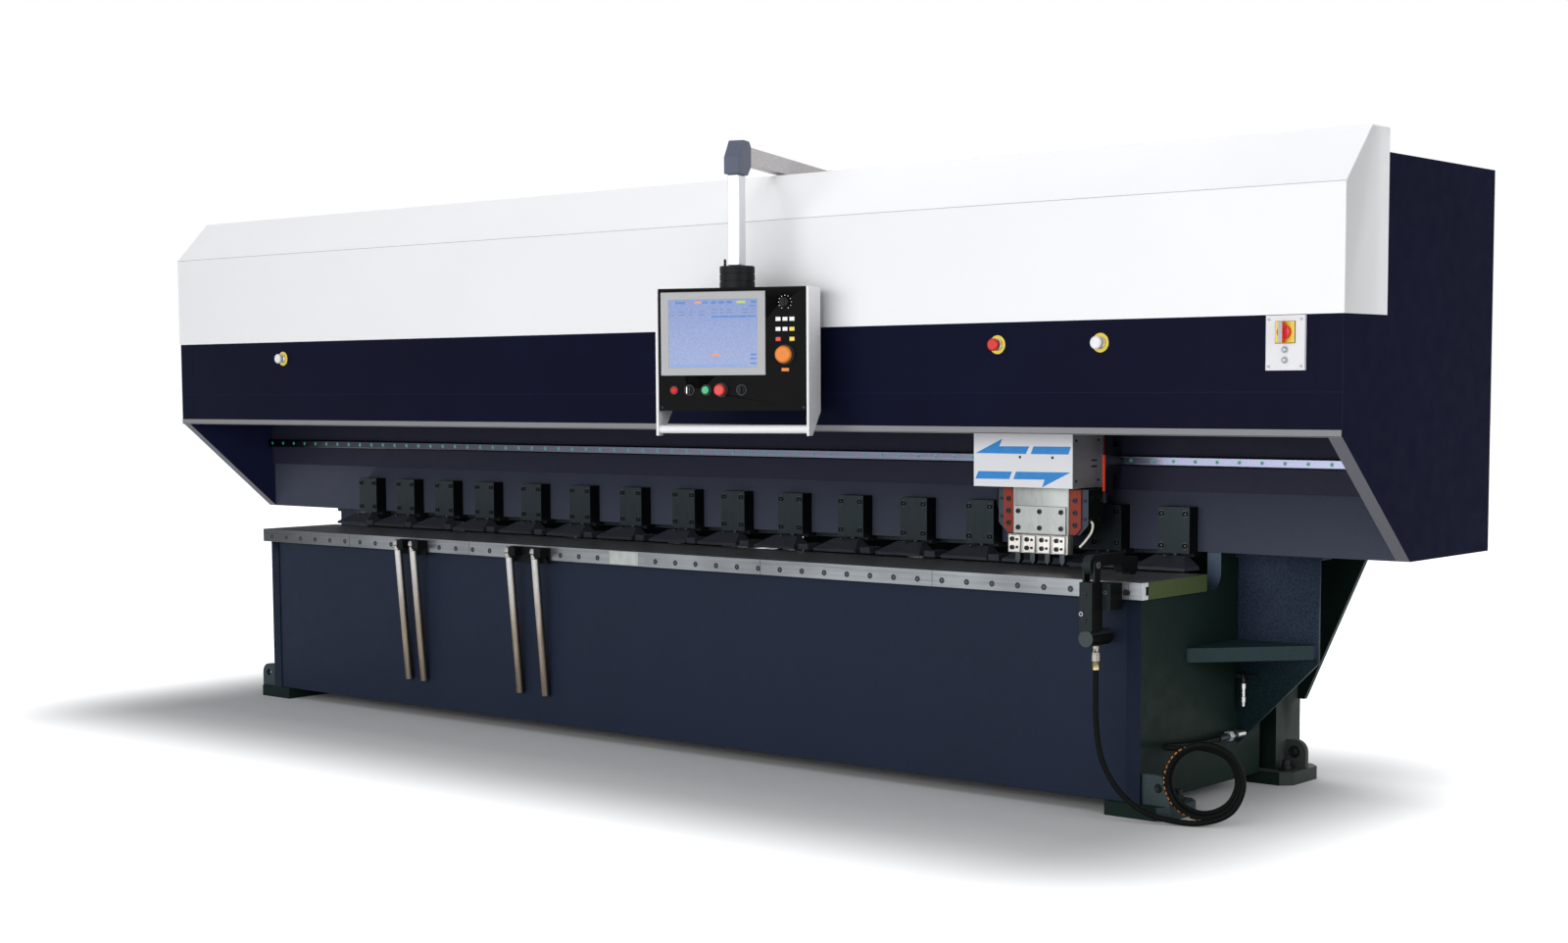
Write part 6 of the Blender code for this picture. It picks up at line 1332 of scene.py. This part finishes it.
def make_slide():
    """Tool slide, its bolted plate, the holder's clamp plates and the tools."""
    dress("tool_slide", ["slide_steel", "plate_steel"],
          lambda centre, normal: 1 if centre.y < SLIDE_FRONT - 0.0005 else 0, 0.0008)
    places = [(HEAD_X + dx, SLIDE_PLATE_FRONT, z) for dx in (-0.084, 0.0, 0.084) for z in (0.872, 0.926)]
    screws("slide_plate_screws", "slide", places, 0.0082, 0.0035, FACE_FRONT)
    dress("tool_holder", ["holder_steel", "tool_steel"],
          lambda centre, normal: 1 if centre.z < TOOL_TIP_Z else 0, 0.0008)
    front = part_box("tool_holder")[0].y
    face = front - TOOL_CLAMP_THICKNESS
    bm = bmesh.new()
    for x in TOOL_XS:
        add_box(bm, (x - 0.0235, face, 0.7905), (x + 0.0215, front - 0.0003, 0.8475))
    piece("tool_clamps", "slide", bm, ["clamp_plate_steel"], 0.0015)
    large = [(x - 0.009, face, z) for x in TOOL_XS for z in (0.806, 0.834)]
    small = [(x + 0.010, face, z) for x in TOOL_XS for z in (0.807, 0.833)]
    screws("tool_clamp_screws", "slide", large, 0.0078, 0.004, FACE_FRONT)
    screws("tool_setting_screws", "slide", small, SMALL_SCREW, 0.0025, FACE_FRONT)
    dress("feed_screw", ["bolt_zinc"])


def make_air_line():
    """Cooling tube with its elbow, mist tube with its socket, and a sensor cable on the other side."""
    dress("head_air_tube", ["air_tube", "plastic_black"], lambda centre, normal: 1 if centre.z < 0.993 else 0)
    tube_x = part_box("head_air_tube")[1].x - 0.005
    bm = bmesh.new()
    add_lathe(bm, "Z", (tube_x, -0.0535), [(0.956, 0.0085), (0.990, 0.0085), (0.994, 0.0070)], 24)
    add_lathe(bm, "X", (-0.0535, 0.965), [(HEAD_X + 0.1765, 0.0080), (tube_x + 0.006, 0.0080)], 24)
    piece("air_elbow", "carriage", bm, ["plastic_black"], 0.0008)
    bm = bmesh.new()
    add_tube(bm, smooth_path([(HEAD_X + x, y, z) for x, y, z in MIST_TUBE]), 0.0038, 12)
    piece("mist_tube", "carriage", bm, ["nozzle_tube"])
    bm = bmesh.new()
    add_lathe(bm, "X", (-0.118, 0.900), [(HEAD_X + 0.1762, 0.0085), (HEAD_X + 0.184, 0.0085)], 20)
    piece("mist_socket", "carriage", bm, ["plastic_black"], 0.0008)
    bm = bmesh.new()
    left = HEAD_X - 0.176
    add_tube(bm, smooth_path([(HEAD_X + x, y, z) for x, y, z in SENSOR_CABLE]), 0.0045, 12)
    gland = [(left - 0.0002, 0.012), (left - 0.012, 0.012), (left - 0.016, 0.009)]
    add_lathe(bm, "X", (-0.095, 0.912), gland, 20)
    piece("sensor_cable", "carriage", bm, ["rubber_black"])


def make_carriage():
    """Saddle, drive motor and pinion."""
    dress_all({"carriage_saddle": "dark_machined", "carriage_motor": "motor_coat"}, 0.0015)
    dress("drive_pinion", ["bolt_zinc"])


class GROOVER_OT_head(Operator):
    """Carriage, head cover, housing, slide and tools."""

    bl_idname = "groover.head"
    bl_label = "Tool head"

    def execute(self, context):
        make_carriage()
        make_cover()
        make_housing()
        make_slide()
        make_air_line()
        return {"FINISHED"}


# ================================================================ pendant
KNOB_X = 0.190
KNOB_Z = PENDANT_TOP - 0.052
ROW_Z = PENDANT_TOP - 0.345
LAMP_X = -0.210
SCREEN_FACE = PENDANT_FACE - GAP - 0.0035
SCREEN_LEFT, SCREEN_RIGHT = -0.228, 0.093
SCREEN_TOP, SCREEN_BOTTOM = PENDANT_TOP - 0.039, PENDANT_TOP - 0.269
DISPLAY_FINISHES = ["screen_blue", "screen_pale", "screen_soft", "screen_grey", "screen_orange",
                    "screen_lime"]
TITLE_BLOCKS = (
    # start and width as shares of the display, finish
    (0.08, 0.11, 0), (0.30, 0.07, 4), (0.39, 0.06, 0), (0.48, 0.06, 0), (0.57, 0.06, 0), (0.66, 0.06, 0),
    (0.77, 0.10, 5), (0.93, 0.06, 0))
LEFT_ROWS = ((0.03, 0.035), (0.11, 0.08), (0.24, 0.03), (0.34, 0.07))
RIGHT_ROWS = ((0.49, 0.06), (0.58, 0.04), (0.66, 0.06), (0.83, 0.07), (0.92, 0.06))


def add_panel(bm, left, right, bottom, top, front, depth=0.0004, finish=0):
    """Thin rectangle on the pendant's front, in its own axes."""
    add_prism(bm, "Y", rectangle(left, right, bottom, top), front, front - depth, finish)


def display_blocks():
    """Blocks of the plain display as (left, right, top, bottom, finish), in shares of its size."""
    made = [(x, x + width, 0.025, 0.062, finish) for x, width, finish in TITLE_BLOCKS]
    made.append((0.91, 0.98, 0.09, 0.115, 0))
    for down in (0.0, 0.045):
        made += [(x, x + width, 0.170 + down, 0.182 + down, 3) for x, width in LEFT_ROWS]
        made += [(x, x + width, 0.145 + down, 0.157 + down, 3) for x, width in RIGHT_ROWS]
    made += [(x, x + 0.096, 0.240, 0.268, 0) for x in steps(0.485, 0.893, 0.102)]
    made += [(0.477, 0.480, 0.24, 0.78, 2), (0.480, 0.990, 0.745, 0.748, 2), (0.48, 0.58, 0.80, 0.832, 4)]
    made += [(0.92, 0.985, z, z + 0.025, 0) for z in (0.80, 0.86, 0.93)]
    made.append((0.01, 0.88, 0.960, 0.982, 2))
    return made


def make_display():
    """Plain display: title bar, blank table rows and soft keys, with no text."""
    bm = bmesh.new()
    add_panel(bm, SCREEN_LEFT + 0.001, SCREEN_RIGHT - 0.001, SCREEN_BOTTOM + 0.001, SCREEN_TOP - 0.001,
              SCREEN_FACE - 0.0001)
    piece("display_glass", "pendant", bm, ["display_film"], place=PENDANT_PLACE)
    wide = SCREEN_RIGHT - SCREEN_LEFT
    tall = SCREEN_TOP - SCREEN_BOTTOM
    bm = bmesh.new()
    for left, right, top, bottom, finish in display_blocks():
        add_panel(bm, SCREEN_LEFT + wide * left, SCREEN_LEFT + wide * right, SCREEN_TOP - tall * bottom,
                  SCREEN_TOP - tall * top, SCREEN_FACE - 0.0006, 0.0002, finish)
    piece("display_marks", "pendant", bm, DISPLAY_FINISHES, place=PENDANT_PLACE)


def make_keypad():
    """Speed dial's ticks and the small keys."""
    front = PENDANT_FACE - 0.0002
    bm = bmesh.new()
    for angle in steps(math.radians(-150), math.radians(150), math.radians(30)):
        tick = (KNOB_X + 0.0225 * math.sin(angle), KNOB_Z + 0.0225 * math.cos(angle))
        add_prism(bm, "Y", circle(tick, 0.0016, 8), front, front - 0.0005)
    coloured = {(1, 2): 1, (2, 2): 1, (2, 0): 2}
    keys = [(row, column) for row in range(3) for column in range(3) if (row, column) != (2, 1)]
    for row, column in keys:
        x = KNOB_X + (column - 1) * 0.0245
        z = PENDANT_TOP - 0.108 - row * 0.0335
        finish = coloured.get((row, column), 0)
        add_panel(bm, x - 0.0085, x + 0.0085, z - 0.0065, z + 0.0065, front, 0.0012, finish)
    add_panel(bm, KNOB_X - 0.013, KNOB_X + 0.013, PENDANT_TOP - 0.283, PENDANT_TOP - 0.272, front, 0.0006, 3)
    piece("membrane_keys", "pendant", bm,
          ["plastic_white", "plastic_yellow", "plastic_red", "plastic_orange"], place=PENDANT_PLACE)


def make_control_rings():
    """Rings round the controls, and the indicator lamp."""
    front = PENDANT_FACE - 0.0002
    bm = bmesh.new()
    add_ring(bm, "Y", (LAMP_X, ROW_Z), 0.0150, 0.0115, front, front - 0.0045)
    for x in (-0.155, -0.094, 0.0335):
        add_ring(bm, "Y", (x, ROW_Z), 0.0185, 0.0150, front, front - 0.0030)
    add_ring(bm, "Y", (-0.039, ROW_Z), 0.0240, 0.0120, front, front - 0.0035)
    add_ring(bm, "Y", (KNOB_X, PENDANT_TOP - 0.227), 0.0330, 0.0115, front, front - 0.0035)
    piece("control_rings", "pendant", bm, ["ring_dark"], place=PENDANT_PLACE)
    bm = bmesh.new()
    dome = [(front - 0.0001, 0.0112), (front - 0.0060, 0.0112), (front - 0.0085, 0.0090),
            (front - 0.0095, 0.0050)]
    add_lathe(bm, "Y", (LAMP_X, ROW_Z), dome, 28)
    piece("indicator_lamp", "pendant", bm, ["lamp_red"], place=PENDANT_PLACE)


def make_pendant():
    """Control box, cheek plates, display and controls of the pendant."""
    dress("pendant_box", ["pendant_coat"])
    dress("pendant_screen", ["bezel_coat"], edge=0.0015)
    dress("pendant_handle_frame", ["cheek_coat"], edge=0.001)
    dress("pendant_swivel", ["swivel_black"])
    dress_all({"feed_hold_mushroom": "plastic_orange", "emergency_stop": "plastic_red",
               "green_button": "plastic_green", "speed_knob": "plastic_black",
               "mode_selector": "plastic_black"}, 0.0012)
    into_pendant = PENDANT_PLACE.inverted()
    dress("key_switch", ["plastic_black", "bolt_zinc"],
          lambda centre, normal: 1 if (into_pendant @ centre).y < PENDANT_FACE - 0.0062 else 0, 0.0006)
    make_display()
    make_keypad()
    make_control_rings()
    places = [PENDANT_PLACE @ Vector((x, PENDANT_FACE, PENDANT_TOP - 0.404)) for x in (-0.2545, 0.2545)]
    screws("pendant_screws", "pendant", places, 0.0035, 0.0015, PENDANT_FACING)


def make_arm():
    """Bearing, swinging arm, elbow and drop tube."""
    dress("arm_base", ["arm_coat"], edge=0.001)
    dress("arm_tube", ["aluminium_arm"], edge=0.003)
    dress("arm_elbow", ["arm_coat"], edge=0.003)
    dress("drop_tube", ["aluminium"], edge=0.004)
    low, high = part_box("arm_base")
    centre = ((low.x + high.x) / 2, (low.y + high.y) / 2)
    ring = [(x, y, low.z + 0.014) for x, y in circle(centre, 0.066, 6, math.radians(30))]
    screws("arm_base_screws", "frame", ring, 0.006, 0.005, FACE_UP)


class GROOVER_OT_pendant(Operator):
    """Control pendant."""

    bl_idname = "groover.pendant"
    bl_label = "Pendant"

    def execute(self, context):
        make_pendant()
        return {"FINISHED"}


class GROOVER_OT_arm(Operator):
    """Pendant's arm."""

    bl_idname = "groover.arm"
    bl_label = "Arm"

    def execute(self, context):
        make_arm()
        return {"FINISHED"}


# ================================================================ side clamp, couplings and back gauge
SPARE_ELBOW_X, SPARE_ELBOW_Y = SIDE_WALL_X + 0.030, 0.2435


def make_side_clamp():
    """Air clamp at the table's right end, with its lever and fasteners."""
    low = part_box("side_clamp_body")[0]
    cylinder_top = low.z + 0.046
    # front and top faces take a lighter copy of the black: painted light
    dress("side_clamp_body", ["clamp_black", "clamp_lit_face_coat", "cylinder_end_coat"],
          lambda centre, normal: 2 if normal.y < -0.9 and centre.z < cylinder_top else (
              1 if normal.y < -0.5 or normal.z > 0.5 else 0), 0.0015)
    dress("side_clamp_lever", ["clamp_black", "clamp_lit_face_coat"],
          lambda centre, normal: 1 if normal.y < -0.3 or normal.z > 0.5 else 0, 0.0015)
    x, front = SIDE_CLAMP_X, low.y + 0.001
    bolts = [(x - 0.004, front, z) for z in (0.624, 0.700)]
    screws("side_clamp_screws", "frame", bolts, 0.0075, 0.004, FACE_FRONT)
    screws("side_clamp_nut", "frame", [(x - 0.014, front, 0.642)], 0.0075, 0.005, FACE_FRONT, "plug_ring")
    bracket = [(x + 0.034, RAIL_FACE_Y - 0.532, 0.706)]
    screws("side_bracket_screws", "frame", bracket, 0.0070, 0.004, FACE_FRONT, "plug_ring")
    pin = [(x + 0.0225, RAIL_FACE_Y - 0.560, 0.791)]
    screws("lever_pin_head", "frame", pin, 0.0105, 0.004, FACE_RIGHT, "screw_grey")
    screws("side_rear_screw", "frame", [(x + 0.072, STRIP_FACE_Y, EDGE_SCREW_Z)], 0.0085, 0.003, FACE_FRONT)


def make_couplings():
    """Couplings at both ends of the hose, and the spare elbow with its coupling."""
    dress("hose_fitting", ["fitting_steel", "brass"], lambda centre, normal: 1 if centre.z < 0.485 else 0)
    dress("wall_fitting", ["dark_machined", "bolt_zinc"], lambda centre, normal: 1 if centre.y > 0.20 else 0)
    low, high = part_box("hose_fitting")
    bm = bmesh.new()
    add_prism(bm, "Z", circle((SIDE_CLAMP_X, (low.y + high.y) / 2), 0.0128, 6), 0.5055, 0.5195)
    piece("fitting_nut", "frame", bm, ["fitting_steel"], 0.0008)
    bm = bmesh.new()
    add_prism(bm, "Y", circle((SIDE_WALL_X + WALL_PORT[0], WALL_PORT[1]), 0.0175, 6), 0.150, 0.172)
    piece("wall_nut", "frame", bm, ["strip_end"], 0.0008)
    x, y = SPARE_ELBOW_X, SPARE_ELBOW_Y
    bm = bmesh.new()
    add_lathe(bm, "X", (y, 0.385), [(SIDE_WALL_X + GAP, 0.0105), (x - 0.008, 0.0105), (x - 0.008, 0.0085),
                                    (x + 0.009, 0.0085)], 24)
    add_lathe(bm, "X", (y, 0.388), [(x + 0.012, 0.0060), (x + 0.040, 0.0060), (x + 0.040, 0.0085),
                                    (x + 0.048, 0.0085)], 24)
    add_lathe(bm, "Z", (x, y), [(0.362, 0.0090), (0.390, 0.0090)], 24)
    piece("spare_elbow", "frame", bm, ["black_oxide"], 0.0006)
    bm = bmesh.new()
    add_lathe(bm, "Z", (x, y), [(0.286, 0.0070), (0.300, 0.0070), (0.300, 0.0100), (0.318, 0.0100),
                                (0.318, 0.0080), (0.344, 0.0080), (0.344, 0.0105), (0.3617, 0.0105)], 24)
    piece("spare_coupling", "frame", bm, ["bolt_zinc"], 0.0006)


class GROOVER_OT_side_clamp(Operator):
    """Side clamp and its couplings."""

    bl_idname = "groover.side_clamp"
    bl_label = "Side clamp"

    def execute(self, context):
        make_side_clamp()
        make_couplings()
        return {"FINISHED"}


class GROOVER_OT_gauge(Operator):
    """Back gauge and its screw."""

    bl_idname = "groover.gauge"
    bl_label = "Back gauge"

    def execute(self, context):
        dress("backgauge_beam", ["strip_steel_shaded_left"], edge=0.001)
        dress("backgauge_screw", ["bolt_zinc"])
        return {"FINISHED"}


# ================================================================ panel and registration
STEPS = (GROOVER_OT_stage, GROOVER_OT_hose, GROOVER_OT_base, GROOVER_OT_table, GROOVER_OT_supports,
         GROOVER_OT_beam, GROOVER_OT_clamps, GROOVER_OT_hood, GROOVER_OT_switches, GROOVER_OT_head,
         GROOVER_OT_pendant, GROOVER_OT_arm, GROOVER_OT_side_clamp, GROOVER_OT_gauge)


class GROOVER_PT_steps(Panel):
    """Lists the machine's settings and steps in the sidebar."""

    bl_label = "V-grooving machine"
    bl_idname = "GROOVER_PT_steps"
    bl_space_type = "VIEW_3D"
    bl_region_type = "UI"
    bl_category = "Groover"

    def draw(self, context):
        layout = self.layout
        for group in (context.scene.groover_sizes, context.scene.groover_colours):
            for label in group.bl_rna.properties.keys():
                if label not in {"rna_type", "name"}:
                    layout.prop(group, label)
        for step in STEPS:
            layout.operator(step.bl_idname)


CLASSES = (GrooverColours, GrooverSizes, *STEPS, GROOVER_PT_steps)


def register():
    """Add the settings, steps and panel."""
    for item in CLASSES:
        bpy.utils.register_class(item)
    bpy.types.Scene.groover_colours = PointerProperty(type=GrooverColours)
    bpy.types.Scene.groover_sizes = PointerProperty(type=GrooverSizes)


def unregister():
    """Take the settings, steps and panel away."""
    del bpy.types.Scene.groover_sizes
    del bpy.types.Scene.groover_colours
    for item in reversed(CLASSES):
        bpy.utils.unregister_class(item)


def main():
    """Run every step in order."""
    register()
    for step in STEPS:
        group, action = step.bl_idname.split(".")
        getattr(getattr(bpy.ops, group), action)()


if __name__ == "__main__":
    main()
